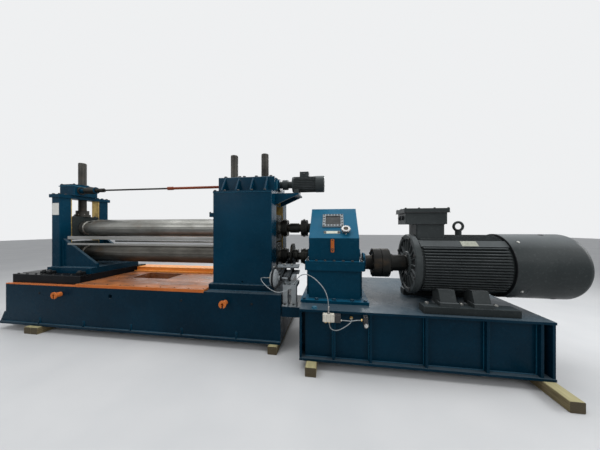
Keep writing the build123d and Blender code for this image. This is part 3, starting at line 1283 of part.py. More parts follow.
def motor_fins():
    """Level cooling fins on both sides of the motor's frame, with their tips on one circle."""
    y, z = MOTOR_Y, LOWER_AXIS_Z
    half = FIN_THICKNESS / 2
    levels = [z + FIN_TOP - n * FIN_PITCH for n in range(FIN_COUNT)]
    left, right = BODY_LEFT + FIN_START, BODY_RIGHT - FIN_END
    fins = [block(left, right, y - FIN_TIP_R, y + FIN_TIP_R, level - half, level + half) for level in levels]
    return disc_x(left, right, y, z, FIN_TIP_R) & (fins[0] + fins[1:])


def motor_foot(x, side):
    """One foot of the main motor: a pad on the rail and a leaning leg up to the frame."""
    foot_z = LOWER_AXIS_Z - SHAFT_HEIGHT
    centre = MOTOR_Y + side * RAIL_Y
    half = RAIL_WIDTH / 2
    pad = block(x, x + FOOT_LENGTH, centre - half, centre + half, foot_z, foot_z + FOOT_PAD)
    outer = centre + side * (half - FOOT_LEG_LEAN)
    inner = MOTOR_Y + side * MOTOR_R * FOOT_LEG_INNER_SHARE
    top = LOWER_AXIS_Z - MOTOR_R * FOOT_LEG_TOP_SHARE
    outline = [
        (inner, foot_z), (outer, foot_z), (outer, foot_z + FOOT_PAD), (outer - side * FOOT_LEG_LEAN * 2, top),
        (inner, top),
    ]
    return pad + yz_plate(outline, x + FOOT_LEG_INSET, x + FOOT_LENGTH - FOOT_LEG_INSET)


def motor_frame():
    """Finned frame of the main motor with a smooth band for the plate and four feet."""
    y, z = MOTOR_Y, LOWER_AXIS_Z
    frame = disc_x(BODY_LEFT, BODY_RIGHT, y, z, MOTOR_R) + motor_fins()
    half = BAND_WIDTH / 2
    for side in (-1, 1):
        band = block(BODY_LEFT, BODY_RIGHT, -half, half, MOTOR_R - BAND_PROUD, MOTOR_R + BAND_PROUD)
        frame += Pos(0, y, z) * Rot(-side * (90 - BAND_ANGLE), 0, 0) * band
    for place in FOOT_PLACES:
        frame += motor_foot(BODY_LEFT + place, -1) + motor_foot(BODY_LEFT + place, 1)
    return frame


def motor_rails():
    """Two rails that carry the motor's feet."""
    rails = []
    half = RAIL_WIDTH / 2 + RAIL_MARGIN
    left, right = BODY_LEFT - RAIL_OVERHANG, BODY_RIGHT
    for side in (-1, 1):
        centre = MOTOR_Y + side * RAIL_Y
        rail = block(left, right, centre - half, centre + half, DRIVE_TOP, DRIVE_TOP + RAIL_HEIGHT)
        rails.append(eased(rail, RAIL_CHAMFER, Axis.X))
    return rails


def fan_grille():
    """Flat guard of rings and bars over the fan's intake, in the plane of the cowl's end."""
    guard = Circle(GRILLE_R + GRILLE_WIRE)
    step = (GRILLE_R - GRILLE_BOSS_R) / GRILLE_RINGS
    slots = Sketch()
    for n in range(GRILLE_RINGS):
        inner = GRILLE_BOSS_R + n * step
        slots += Circle(inner + step - GRILLE_WIRE) - Circle(inner + GRILLE_WIRE)
    for n in range(GRILLE_BARS):
        slots -= Rot(0, 0, 180 * n / GRILLE_BARS) * Rectangle(2 * GRILLE_R, GRILLE_BAR_WIDTH)
    plate = extrude(guard - slots, GRILLE_PLATE)
    return Pos(COWL_RIGHT - GRILLE_PLATE, MOTOR_Y, LOWER_AXIS_Z) * Rot(0, 90, 0) * plate


def fan_cowl():
    """Long rolled cowl round the motor's fan, with a rounded end and a round intake guard."""
    y, z = MOTOR_Y, LOWER_AXIS_Z
    cowl = disc_x(BODY_RIGHT, COWL_RIGHT, y, z, COWL_R)
    cowl = fillet(cowl.edges().sort_by(Axis.X)[-1], COWL_DOME)
    cowl -= disc_x(COWL_RIGHT - GRILLE_DEPTH, COWL_RIGHT + 1, y, z, GRILLE_R)
    cowl += disc_x(COWL_RIGHT - GRILLE_DEPTH - WELD, COWL_RIGHT - GRILLE_PLATE / 2, y, z, GRILLE_BOSS_R)
    return cowl + fan_grille()


def terminal_box():
    """Terminal box on top of the motor: a narrow neck, the box itself and its lid."""
    y = MOTOR_Y
    bottom = LOWER_AXIS_Z + MOTOR_R - TERMINAL_SINK
    lid = TERMINAL_TOP - TERMINAL_LID
    left, right, half = TERMINAL_LEFT, TERMINAL_LEFT + TERMINAL_LENGTH, TERMINAL_HALF_WIDTH
    inset = TERMINAL_LID_MARGIN
    cover = block(left, right, y - half, y + half, lid, TERMINAL_TOP)
    box = block(left + inset, right - inset, y - half + inset, y + half - inset, TERMINAL_SPLIT, lid)
    half = NECK_HALF_WIDTH
    neck = block(BODY_LEFT, BODY_LEFT + NECK_LENGTH, y - half, y + half, bottom, TERMINAL_SPLIT)
    body = fillet(box.edges().filter_by(Axis.Z), TERMINAL_FILLET)
    body += fillet(cover.edges().filter_by(Axis.Z), TERMINAL_FILLET)
    body += fillet(neck.edges().filter_by(Axis.Z), TERMINAL_FILLET)
    return body - disc_x(left - 1, right + 1, y, LOWER_AXIS_Z, MOTOR_R)


def motor_eyebolt():
    """Lifting eye on top of the motor."""
    base = LOWER_AXIS_Z + MOTOR_R - EYE_SINK
    collar_top = base + EYE_BASE_HEIGHT
    eye = disc_z(EYE_X, MOTOR_Y, base, collar_top, EYE_BASE_R)
    eye -= disc_x(EYE_X - EYE_R, EYE_X + EYE_R, MOTOR_Y, LOWER_AXIS_Z, MOTOR_R)
    ring = Pos(EYE_X, MOTOR_Y, collar_top + EYE_R - EYE_WIRE / 2) * Rot(90, 0, 0) * Torus(EYE_R - EYE_WIRE, EYE_WIRE)
    return eye + ring


def valve_box():
    """Valve box under the drive base's top plate, with one fitting on top and two below."""
    front = DRIVE_FRONT
    box = block(VALVE_LEFT, VALVE_RIGHT, front - VALVE_DEPTH, front + VALVE_BACK, VALVE_BOTTOM, VALVE_TOP)
    box = fillet(box.edges().filter_by(Axis.Y), VALVE_FILLET)
    y = front - VALVE_DEPTH / 2
    for x in (VALVE_LEFT + VALVE_PORT, RETURN_HOSE[0][0]):
        box += disc_z(x, y, VALVE_BOTTOM - VALVE_PORT_LENGTH, VALVE_BOTTOM + WELD, FITTING_R)
    return box + disc_z((VALVE_LEFT + VALVE_RIGHT) / 2, y, VALVE_TOP - WELD, VALVE_TOP + VALVE_PORT, FITTING_R)


def solenoid():
    """Solenoid beside the valve box, under the base's top plate."""
    left = VALVE_RIGHT + SOLENOID_GAP
    right = left + SOLENOID_WIDTH
    front, back = DRIVE_FRONT - SOLENOID_DEPTH, DRIVE_FRONT + SOLENOID_BACK
    coil = block(left, right, front, back, VALVE_TOP - SOLENOID_HEIGHT, VALVE_TOP)
    coil = fillet(coil.edges().filter_by(Axis.Y), SOLENOID_FILLET)
    port_z = SUPPLY_HOSE[-1][2]
    return coil + disc_x(right - WELD, right + VALVE_PORT_LENGTH, DRIVE_FRONT - SOLENOID_PORT_Y, port_z, FITTING_R)


def panel_fitting():
    """Bulkhead fitting in the drive base's front panel."""
    panel = DRIVE_FRONT + PANEL_RECESS
    fitting = disc_y(PANEL_FITTING_X, panel - FITTING_LENGTH, panel, PANEL_FITTING_Z, FITTING_R)
    return fitting + disc_y(PANEL_FITTING_X, panel - FITTING_NUT, panel, PANEL_FITTING_Z, FITTING_NUT_R)


def air_regulator():
    """Air regulator with a round gauge, hung under the base's top plate."""
    x = REGULATOR_X
    y = DRIVE_FRONT - REGULATOR_DEPTH
    half = REGULATOR_BRACKET / 2
    body = disc_z(x, y, REGULATOR_BODY_BOTTOM, REGULATOR_BODY_TOP, REGULATOR_R)
    body += block(x - half, x + half, y, DRIVE_FRONT + SOLENOID_BACK, REGULATOR_BRACKET_BOTTOM, VALVE_TOP)
    body += disc_z(x, y, REGULATOR_BOTTOM, REGULATOR_BODY_BOTTOM + WELD, REGULATOR_BOWL_R)
    body += disc_y(x, y - REGULATOR_R - GAUGE_DIAL_DEPTH, y, GAUGE_DIAL_Z, GAUGE_DIAL_R)
    return body + disc_x(SUPPLY_HOSE[0][0], x, y, REGULATOR_PORT_Z, FITTING_R)


def arc_radii(points):
    """The largest fillet radii that the runs beside each corner allow."""
    spots = [Vector(*p) for p in points]
    radii = []
    for before, here, after in zip(spots, spots[1:], spots[2:]):
        first, second = here - before, after - here
        turn = math.radians(first.get_angle(second))
        radii.append(0.45 * min(first.length, second.length) / math.tan(turn / 2))
    return radii


def hose(name, points):
    """A hose as straight runs joined by tangent arcs."""
    radii = arc_radii(points)
    path = FilletPolyline(*points, radius=radii)
    start, towards = Vector(*points[0]), Vector(*points[1])
    section = Plane(origin=start, z_dir=towards - start) * Circle(HOSE_R)
    tube = sweep(section, path=path)
    share = tube.volume / (math.pi * HOSE_R**2 * path.length)
    print(name, "radii", [round(r) for r in radii], "length", round(path.length), "volume ratio", round(share, 3))
    return tube


def parts_by_node():
    """Every node of the machine, by name."""
    chock_bottom, chock_top = FOOT_TOP, WALL_TOP
    return {
        "timbers": timbers(),
        "bed_frame": bed_frame(),
        "slideway_table": slideway_table(),
        "deck_plate": deck_plate(),
        "rear_beam": rear_beam(),
        "lifting_bollards": lifting_bollards(),
        "fixed_foot": fixed_foot(),
        "fixed_stand_walls": [fixed_wall(-1), fixed_wall(1)],
        "fixed_liners": [liner(0, STAND_RIGHT, side, chock_bottom, chock_top) for side in (-1, 1)],
        "fixed_top_plate": fixed_top_plate(),
        "screw_gearcase": screw_gearcase(),
        "drive_lower_chock": drive_chock(LOWER_AXIS_Z),
        "drive_upper_chock": drive_chock(UPPER_AXIS_Z),
        "drive_screws": [screw(x) for x in DRIVE_SCREW_X],
        "outboard_base": outboard_base(),
        "outboard_uprights": [outboard_upright(-1), outboard_upright(1)],
        "outboard_liners": [liner(OUT_LEFT, OUT_RIGHT, side, OUT_BASE_TOP, OUT_WALL_TOP) for side in (-1, 1)],
        "outboard_top_plate": outboard_top_plate(),
        "outboard_worm_box": outboard_worm_box(),
        "outboard_lower_chock": outboard_chock(LOWER_AXIS_Z),
        "outboard_upper_chock": outboard_chock(UPPER_AXIS_Z),
        "outboard_screw": screw(OUT_CENTRE),
        "upper_arbor": arbor(UPPER_AXIS_Z),
        "upper_arbor_sleeve": coupling_sleeve(ARBOR_PIVOT_X, UPPER_AXIS_Z, 1),
        "lower_arbor": arbor(LOWER_AXIS_Z),
        "lower_coupling_shaft": lower_coupling_shaft(),
        "brake_disc": brake_disc(),
        "upper_coupling_shaft": floating_shaft(UPPER_AXIS_Z),
        "coupling_cover": coupling_cover(),
        "gearbox_output": gearbox_output(),
        "sync_rod": sync_rod(),
        "sync_tube": sync_tube(),
        "stripper_bars": stripper_bars(),
        "screw_motor": screw_motor(),
        "screw_motor_bracket": screw_motor_bracket(),
        "brake_caliper": brake_caliper(),
        "brake_levers": [brake_lever(-1), brake_lever(1)],
        "brake_chamber": brake_chamber(),
        "drive_base": drive_base(),
        "gearbox_lower_case": gearbox_lower_case(),
        "gearbox_upper_case": gearbox_upper_case(),
        "inspection_window": inspection_window(),
        "breather": breather(),
        "oil_gauge": oil_gauge(),
        "bearing_caps": bearing_caps(),
        "input_coupling": input_coupling(),
        "motor_end_bell": motor_end_bell(),
        "motor_frame": motor_frame(),
        "motor_rails": motor_rails(),
        "fan_cowl": fan_cowl(),
        "terminal_box": terminal_box(),
        "motor_eyebolt": motor_eyebolt(),
        "brake_valves": [valve_box(), solenoid(), panel_fitting()],
        "air_regulator": air_regulator(),
        "brake_hose": hose("brake_hose", BRAKE_HOSE),
        "return_hose": hose("return_hose", RETURN_HOSE),
        "supply_hose": hose("supply_hose", SUPPLY_HOSE),
    }


def export_all():
    """Write one STEP file for each node, with the origin under the arbors."""
    os.makedirs("parts", exist_ok=True)
    to_origin = Pos(-ORIGIN_X, 0, 0)
    for node, shape in parts_by_node().items():
        if isinstance(shape, list):
            shape = Compound(children=[to_origin * solid for solid in shape])
        else:
            shape = to_origin * shape
        export_step(shape, f"parts/{node}.step")


export_all()
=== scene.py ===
import math

import bmesh
import bpy
from mathutils import Matrix, Vector


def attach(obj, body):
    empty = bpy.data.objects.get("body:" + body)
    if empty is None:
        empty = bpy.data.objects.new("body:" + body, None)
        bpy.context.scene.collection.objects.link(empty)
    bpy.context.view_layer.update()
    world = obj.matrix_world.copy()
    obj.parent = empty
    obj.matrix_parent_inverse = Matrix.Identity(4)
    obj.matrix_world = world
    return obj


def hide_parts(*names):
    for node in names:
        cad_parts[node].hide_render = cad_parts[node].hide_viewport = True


# Places are in drawing millimetres: X from the fixed stand's inner face, Y from the arbors, Z from the floor.
# at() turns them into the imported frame, in metres.
ORIGIN_X = 940
MM = 1000

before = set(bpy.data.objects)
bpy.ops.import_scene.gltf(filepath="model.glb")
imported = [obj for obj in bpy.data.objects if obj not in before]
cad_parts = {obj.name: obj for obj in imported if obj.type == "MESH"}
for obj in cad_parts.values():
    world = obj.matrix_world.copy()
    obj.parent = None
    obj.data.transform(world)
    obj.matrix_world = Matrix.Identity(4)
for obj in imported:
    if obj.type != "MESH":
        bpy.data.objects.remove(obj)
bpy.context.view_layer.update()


def at(x, y, z):
    return Vector(((x - ORIGIN_X) / MM, y / MM, z / MM))


# Materials.

# How strongly each finish mirrors, as the shader's specular level.
ENAMEL_SPECULAR = 0.06
OILED_SPECULAR = 0.07
GLASS_SPECULAR = 0.12

RUST = (0.10, 0.06, 0.03)


class Shader:
    """A procedural material under construction."""

    def __init__(self, name):
        self.material = bpy.data.materials.new(name)
        self.material.use_nodes = True
        self.tree = self.material.node_tree
        self.bsdf = self.tree.nodes["Principled BSDF"]
        self.place = self.tree.nodes.new("ShaderNodeTexCoord").outputs["Object"]
        self.geometry = self.tree.nodes.new("ShaderNodeNewGeometry")

    def node(self, kind, **values):
        made = self.tree.nodes.new(kind)
        for key, value in values.items():
            setattr(made, key, value)
        return made

    def link(self, output, socket):
        self.tree.links.new(output, socket)

    def noise(self, scale, stretch=(1, 1, 1), detail=4.0, roughness=0.55, shift=0.0):
        mapping = self.node("ShaderNodeMapping")
        mapping.inputs["Scale"].default_value = stretch
        mapping.inputs["Location"].default_value = (shift, shift * 0.7, shift * 1.3)
        self.link(self.place, mapping.inputs["Vector"])
        texture = self.node("ShaderNodeTexNoise")
        texture.inputs["Scale"].default_value = scale
        texture.inputs["Detail"].default_value = detail
        texture.inputs["Roughness"].default_value = roughness
        self.link(mapping.outputs["Vector"], texture.inputs["Vector"])
        return texture.outputs["Fac"]

    def spread(self, value, low, high, to_low=0.0, to_high=1.0):
        """Maps a range of a value to another, clamped."""
        made = self.node("ShaderNodeMapRange")
        for socket, number in zip(made.inputs[1:5], (low, high, to_low, to_high)):
            socket.default_value = number
        self.link(value, made.inputs[0])
        return made.outputs[0]

    def maths(self, operation, a, b=None):
        made = self.node("ShaderNodeMath", operation=operation)
        for socket, value in zip(made.inputs, (a, b)):
            if isinstance(value, (int, float)):
                socket.default_value = value
            elif value is not None:
                self.link(value, socket)
        return made.outputs[0]

    def mix(self, factor, a, b):
        made = self.node("ShaderNodeMix", data_type="RGBA")
        for socket, value in zip((made.inputs[0], made.inputs[6], made.inputs[7]), (factor, a, b)):
            if isinstance(value, (int, float)):
                socket.default_value = value
            elif isinstance(value, tuple):
                socket.default_value = (*value, 1.0)
            else:
                self.link(value, socket)
        return made.outputs[2]

    def edges(self, radius):
        """Rounds the shading normal at edges, and returns it with a mask of the edges."""
        bevel = self.node("ShaderNodeBevel", samples=4)
        bevel.inputs["Radius"].default_value = radius
        dot = self.node("ShaderNodeVectorMath", operation="DOT_PRODUCT")
        self.link(bevel.outputs["Normal"], dot.inputs[0])
        self.link(self.geometry.outputs["Normal"], dot.inputs[1])
        return bevel.outputs["Normal"], self.spread(dot.outputs["Value"], 0.99, 0.86)

    def facing(self, axis):
        """The surface normal's share along an axis."""
        split = self.node("ShaderNodeSeparateXYZ")
        self.link(self.geometry.outputs["Normal"], split.inputs[0])
        return split.outputs[axis]

    def bump(self, height, strength, distance, normal=None):
        made = self.node("ShaderNodeBump")
        made.inputs["Strength"].default_value = strength
        made.inputs["Distance"].default_value = distance
        self.link(height, made.inputs["Height"])
        if normal is not None:
            self.link(normal, made.inputs["Normal"])
        return made.outputs["Normal"]

    def finish(self, colour=None, roughness=None, normal=None, **numbers):
        if colour is not None:
            self.link(colour, self.bsdf.inputs["Base Color"])
        if roughness is not None:
            self.link(roughness, self.bsdf.inputs["Roughness"])
        if normal is not None:
            self.link(normal, self.bsdf.inputs["Normal"])
        for key, value in numbers.items():
            self.bsdf.inputs[key].default_value = value
        return self.material


def painted(name, base, deep, edge, dust_and_sheen=(0.20, 0.25, 0.28), dust_and_sheen_cover=0.30, gloss=0.23, edge_radius=0.004,
            slopes=(0.6, 0.98)):
    """Sprayed machine enamel: cloudy tone, thin dust and a painted sheen on top faces, painted highlights on
    its edges and a faint orange peel.
    """
    s = Shader(name)
    normal, edge_mask = s.edges(edge_radius)
    cloud = s.spread(s.noise(1.1, detail=5.0), 0.35, 0.68)
    colour = s.mix(cloud, deep, base)
    fine = s.spread(s.noise(38.0, detail=3.0, shift=3.0), 0.55, 0.8, 0.0, 0.18)
    colour = s.mix(fine, colour, edge)
    # Edges lighten in patches towards the lighter tone: a painted highlight.
    edge_highlight = s.maths("MULTIPLY", edge_mask, s.spread(s.noise(9.0, shift=7.0), 0.40, 0.66))
    colour = s.mix(edge_highlight, colour, edge)
    # Top faces turn towards a paler colour: partly settled dust, partly a painted sheen of light from above.
    patchy_cover = s.spread(s.noise(1.3, detail=4.0, shift=5.0), 0.3, 0.7, dust_and_sheen_cover * 0.55, dust_and_sheen_cover)
    dust_and_sheen_mask = s.maths("MULTIPLY", s.spread(s.facing("Z"), *slopes), patchy_cover)
    colour = s.mix(dust_and_sheen_mask, colour, dust_and_sheen)
    rough = s.spread(s.noise(6.0, detail=4.0, shift=1.0), 0.3, 0.7, gloss - 0.07, gloss + 0.14)
    rough = s.maths("ADD", rough, s.maths("MULTIPLY", dust_and_sheen_mask, 0.2))
    normal = s.bump(s.noise(2.6, detail=2.0, shift=9.0), 0.10, 0.010, normal)
    normal = s.bump(s.noise(240.0, detail=2.0), 0.12, 0.0006, normal)
    return s.finish(colour, rough, normal, **{"Specular IOR Level": ENAMEL_SPECULAR})


def steel(name, light, dark, rough=0.34, lines=(420, 5, 5), stained=0.25):
    """Machined steel: fine tool lines, cloudy oil film and a little rust."""
    s = Shader(name)
    normal, edge_mask = s.edges(0.002)
    tool = s.noise(1.0, lines, detail=3.0)
    cloud = s.spread(s.noise(3.0, (0.5, 1, 1), detail=6.0, shift=4.0), 0.3, 0.7)
    colour = s.mix(cloud, dark, light)
    colour = s.mix(s.spread(tool, 0.3, 0.7, 0.0, 0.35), colour, dark)
    rust = s.spread(s.noise(7.0, (0.6, 1, 1), detail=7.0, shift=8.0), 0.56, 0.74, 0.0, stained)
    colour = s.mix(rust, colour, RUST)
    colour = s.mix(s.maths("MULTIPLY", edge_mask, 0.6), colour, light)
    roughness = s.spread(cloud, 0.0, 1.0, rough + 0.14, rough - 0.06)
    normal = s.bump(tool, 0.16, 0.0006, normal)
    return s.finish(colour, roughness, normal, Metallic=0.85)


def plain(name, base, deep, rough=0.5, metallic=0.0, scale=20.0, grain=0.0005):
    """A small part's finish with a soft change of tone and a fine grain."""
    s = Shader(name)
    colour = s.mix(s.spread(s.noise(scale), 0.3, 0.7), deep, base)
    roughness = s.spread(s.noise(scale * 3, shift=2.0), 0.3, 0.7, rough - 0.08, rough + 0.1)
    normal = s.bump(s.noise(scale * 12), 0.2, grain)
    return s.finish(colour, roughness, normal, Metallic=metallic)


def sawn_timber(name):
    """Weathered softwood with grain along Y, tops paled by painted light from above and end grain darkened,
    partly by painted shade.
    """
    s = Shader(name)
    normal, edge_mask = s.edges(0.004)
    grain = s.noise(9.0, (9, 0.55, 9), detail=7.0, roughness=0.65)
    fibre = s.noise(60.0, (7, 0.25, 7), detail=3.0, shift=3.0)
    colour = s.mix(s.spread(grain, 0.36, 0.66), (0.085, 0.064, 0.028), (0.215, 0.18, 0.085))
    colour = s.mix(s.spread(fibre, 0.45, 0.75, 0.0, 0.5), colour, (0.13, 0.085, 0.045))
    stain = s.spread(s.noise(2.4, (1, 0.6, 1), detail=5.0, shift=6.0), 0.5, 0.75, 0.0, 0.5)
    colour = s.mix(stain, colour, (0.16, 0.13, 0.10))
    # Top faces turn pale and yellow: painted light from above.
    tops = s.spread(s.facing("Z"), 0.6, 0.9)
    top_light = s.maths("MULTIPLY", tops, s.spread(grain, 0.3, 0.7, 0.5, 0.85))
    colour = s.mix(top_light, colour, (0.44, 0.405, 0.215))
    # Faces across Y turn dark brown: end grain, partly painted shade.
    end_grain_and_shade = s.spread(s.maths("ABSOLUTE", s.facing("Y")), 0.6, 0.9, 0.0, 0.82)
    colour = s.mix(end_grain_and_shade, colour, (0.030, 0.021, 0.008))
    colour = s.mix(s.maths("MULTIPLY", edge_mask, 0.4), colour, (0.36, 0.31, 0.18))
    normal = s.bump(fibre, 0.5, 0.0015, normal)
    normal = s.bump(grain, 0.35, 0.003, normal)
    return s.finish(colour, None, normal, Roughness=0.82)


def worn_deck(name):
    """Orange enamel rubbed to a coppery brown, with scratches and a wet shine."""
    s = Shader(name)
    normal, edge_mask = s.edges(0.004)
    patch = s.spread(s.noise(1.7, (1, 2.2, 1), detail=6.0), 0.42, 0.62)
    colour = s.mix(patch, (0.19, 0.070, 0.030), (0.42, 0.135, 0.032))
    scratch = s.noise(30.0, (0.25, 6, 6), detail=5.0, shift=2.0)
    colour = s.mix(s.spread(scratch, 0.55, 0.72, 0.0, 0.55), colour, (0.42, 0.30, 0.22))
    dirt = s.spread(s.noise(5.5, detail=7.0, shift=5.0), 0.52, 0.72, 0.0, 0.55)
    colour = s.mix(dirt, colour, (0.09, 0.045, 0.025))
    colour = s.mix(s.maths("MULTIPLY", edge_mask, 0.9), colour, (0.85, 0.27, 0.04))
    rough = s.spread(s.noise(4.0, (1, 2, 1), detail=5.0, shift=7.0), 0.3, 0.7, 0.22, 0.5)
    normal = s.bump(scratch, 0.12, 0.0008, normal)
    normal = s.bump(s.noise(3.0, detail=3.0), 0.2, 0.008, normal)
    return s.finish(colour, rough, normal)


def ground_table(name):
    """Blackened slideway with lengthwise grinding lines and an oil film."""
    s = Shader(name)
    normal, edge_mask = s.edges(0.003)
    lines = s.noise(1.0, (5, 300, 300), detail=3.0)
    cloud = s.spread(s.noise(2.0, detail=6.0, shift=2.0), 0.35, 0.7)
    colour = s.mix(cloud, (0.002, 0.003, 0.004), (0.008, 0.009, 0.011))
    colour = s.mix(s.maths("MULTIPLY", edge_mask, 0.6), colour, (0.10, 0.10, 0.10))
    rough = s.spread(cloud, 0.0, 1.0, 0.26, 0.46)
    normal = s.bump(lines, 0.15, 0.0005, normal)
    return s.finish(colour, rough, normal, **{"Specular IOR Level": OILED_SPECULAR})


def gauge_glass(name):
    """A dark pane with a soft change of tone."""
    s = Shader(name)
    colour = s.mix(s.spread(s.noise(14.0), 0.4, 0.7), (0.012, 0.013, 0.013), (0.032, 0.034, 0.034))
    return s.finish(colour, Roughness=0.2, **{"Specular IOR Level": GLASS_SPECULAR})


# The three colours of each enamel are its base, its deeper clouds and a lighter tone for its fine speckle and
# its painted edge highlights.
PETROL = painted("petrol_enamel", (0.0012, 0.031, 0.060), (0.0008, 0.020, 0.039), (0.010, 0.075, 0.125))
# A darker copy of the petrol enamel for the bed, the fixed stand's foot and the drive base: painted shade.
PETROL_SHADED = painted(
    "petrol_enamel_shaded", (0.0006, 0.019, 0.037), (0.0004, 0.011, 0.022), (0.008, 0.055, 0.095),
)
# A lighter copy of the petrol enamel for the gearbox cases and bearing caps: painted light, and its pale blue
# colour on upward slopes is a painted sheen of light from above, not dust.
PETROL_LIT = painted(
    "petrol_enamel_gearbox_lit", (0.0012, 0.041, 0.077), (0.0008, 0.027, 0.051), (0.015, 0.10, 0.17),
    dust_and_sheen=(0.010, 0.10, 0.18), dust_and_sheen_cover=1.0, slopes=(0.5, 0.74),
)
# A lighter copy of the petrol enamel for gusset edges, a joint plate, an end cover and a foot bolt: painted
# highlight.
PETROL_HIGHLIGHT = painted(
    "petrol_enamel_highlight", (0.020, 0.10, 0.155), (0.012, 0.065, 0.105), (0.09, 0.24, 0.31), edge_radius=0.001,
)
# A lighter copy of the petrol enamel for the weld beads: painted highlight along the seams.
WELD_HIGHLIGHT = painted(
    "petrol_enamel_weld_highlight", (0.006, 0.058, 0.100), (0.003, 0.036, 0.066), (0.03, 0.14, 0.22), edge_radius=0.001,
)
GREY = painted(
    "motor_enamel", (0.042, 0.048, 0.049), (0.026, 0.031, 0.032), (0.12, 0.13, 0.135),
    dust_and_sheen=(0.26, 0.28, 0.29), dust_and_sheen_cover=0.45, gloss=0.34,
)
DARK = painted(
    "dark_enamel", (0.014, 0.016, 0.018), (0.007, 0.008, 0.009), (0.07, 0.07, 0.07), dust_and_sheen_cover=0.12, gloss=0.45,
)
RAIL = painted(
    "rail_enamel", (0.024, 0.029, 0.030), (0.015, 0.019, 0.020), (0.10, 0.11, 0.11), dust_and_sheen_cover=0.15, gloss=0.40,
)
ORANGE = painted("orange_enamel", (0.54, 0.155, 0.036), (0.37, 0.092, 0.022), (0.76, 0.33, 0.12), dust_and_sheen_cover=0.08)
LIGHT = painted(
    "light_enamel", (0.30, 0.32, 0.33), (0.20, 0.22, 0.23), (0.50, 0.52, 0.52), gloss=0.36, edge_radius=0.002,
)
CHOCK = painted(
    "chock_enamel", (0.026, 0.032, 0.032), (0.014, 0.018, 0.018), (0.14, 0.15, 0.15),
    dust_and_sheen=(0.34, 0.36, 0.36), dust_and_sheen_cover=0.8, gloss=0.46,
)
# A brighter copy of the orange enamel for the rear beam: painted light from behind.
BEAM_LIT = painted("beam_enamel_lit", (0.96, 0.40, 0.090), (0.88, 0.31, 0.060), (0.96, 0.55, 0.22), dust_and_sheen_cover=0.05)
BROWN = painted(
    "tube_enamel", (0.20, 0.045, 0.018), (0.12, 0.024, 0.010), (0.36, 0.12, 0.05), edge_radius=0.002,
)

# The two colours of each steel or plain finish are its main tone and its other tone.
ARBOR = steel("arbor_steel", (0.30, 0.30, 0.28), (0.10, 0.10, 0.09), rough=0.34, stained=0.45)
# A darker, rustier copy of the arbor steel for the lower arbor: its darker tone is painted shade under the
# upper arbor.
LOWER_ARBOR_SHADED = steel(
    "lower_arbor_steel_shaded", (0.15, 0.145, 0.13), (0.040, 0.037, 0.032), rough=0.36, stained=0.6,
)
SCREW = steel("screw_steel", (0.062, 0.060, 0.053), (0.020, 0.019, 0.018), rough=0.46, lines=(5, 5, 500))
BAR = steel(
    "bar_steel", (0.36, 0.36, 0.35), (0.18, 0.18, 0.17), rough=0.32, lines=(4, 260, 260), stained=0.15,
)
BLACKED = steel("blacked_steel", (0.026, 0.027, 0.024), (0.008, 0.008, 0.008), rough=0.44, stained=0.3)
BRIGHT = steel(
    "bright_steel", (0.34, 0.34, 0.33), (0.13, 0.13, 0.13), rough=0.24, lines=(90, 90, 90), stained=0.05,
)
BRONZE = plain("bronze", (0.50, 0.36, 0.12), (0.27, 0.18, 0.06), rough=0.40, metallic=0.7)
BRASS = plain("brass", (0.55, 0.38, 0.14), (0.36, 0.24, 0.09), rough=0.3, metallic=0.85, scale=60)
BOLT = plain("bolt_black", (0.045, 0.045, 0.045), (0.015, 0.015, 0.015), rough=0.42, metallic=0.5, scale=70)
BOLT_BRIGHT = plain("bolt_zinc", (0.52, 0.52, 0.50), (0.32, 0.32, 0.30), rough=0.34, metallic=0.8, scale=70)
CREAM = plain("valve_body", (0.62, 0.60, 0.52), (0.50, 0.47, 0.40), rough=0.45, scale=30)
BLACK_PLASTIC = plain("black_plastic", (0.022, 0.022, 0.024), (0.012, 0.012, 0.013), rough=0.48, scale=50)
DIAL = plain("dial_white", (0.62, 0.62, 0.59), (0.54, 0.54, 0.51), rough=0.4, scale=40)
PLATE = plain("bare_plate", (0.31, 0.32, 0.27), (0.22, 0.23, 0.19), rough=0.42, metallic=0.5, scale=30)
HOSE = plain("hose_grey", (0.24, 0.26, 0.27), (0.16, 0.18, 0.19), rough=0.35, scale=90, grain=0.0002)
GLASS = gauge_glass("dark_window")
TIMBER = sawn_timber("sawn_timber")
DECK = worn_deck("worn_deck")
TABLE = ground_table("ground_table")

NODE_MATERIALS = {
    TIMBER: ["timbers"],
    PETROL: [
        "fixed_stand_walls", "fixed_top_plate", "screw_gearcase", "outboard_base", "outboard_uprights",
        "outboard_top_plate", "outboard_worm_box", "screw_motor_bracket",
    ],
    PETROL_SHADED: ["bed_frame", "fixed_foot", "drive_base"],
    PETROL_LIT: ["gearbox_lower_case", "gearbox_upper_case", "bearing_caps"],
    TABLE: ["slideway_table"],
    DECK: ["deck_plate"],
    ORANGE: ["lifting_bollards", "oil_gauge"],
    BEAM_LIT: ["rear_beam"],
    CHOCK: ["drive_lower_chock", "drive_upper_chock", "outboard_lower_chock", "outboard_upper_chock"],
    SCREW: ["drive_screws", "outboard_screw"],
    ARBOR: ["upper_arbor"],
    LOWER_ARBOR_SHADED: ["lower_arbor"],
    BAR: ["stripper_bars"],
    BLACKED: [
        "upper_arbor_sleeve", "upper_coupling_shaft", "coupling_cover", "lower_coupling_shaft",
        "gearbox_output", "brake_disc", "input_coupling", "sync_rod",
    ],
    BROWN: ["sync_tube"],
    LIGHT: ["brake_caliper", "brake_chamber", "inspection_window"],
    DARK: ["brake_levers"],
    BRONZE: ["fixed_liners", "outboard_liners"],
    GREY: ["screw_motor", "motor_end_bell", "motor_frame", "fan_cowl", "terminal_box", "motor_eyebolt"],
    RAIL: ["motor_rails"],
    BRIGHT: ["breather"],
    CREAM: ["brake_valves"],
    BLACK_PLASTIC: ["air_regulator"],
}
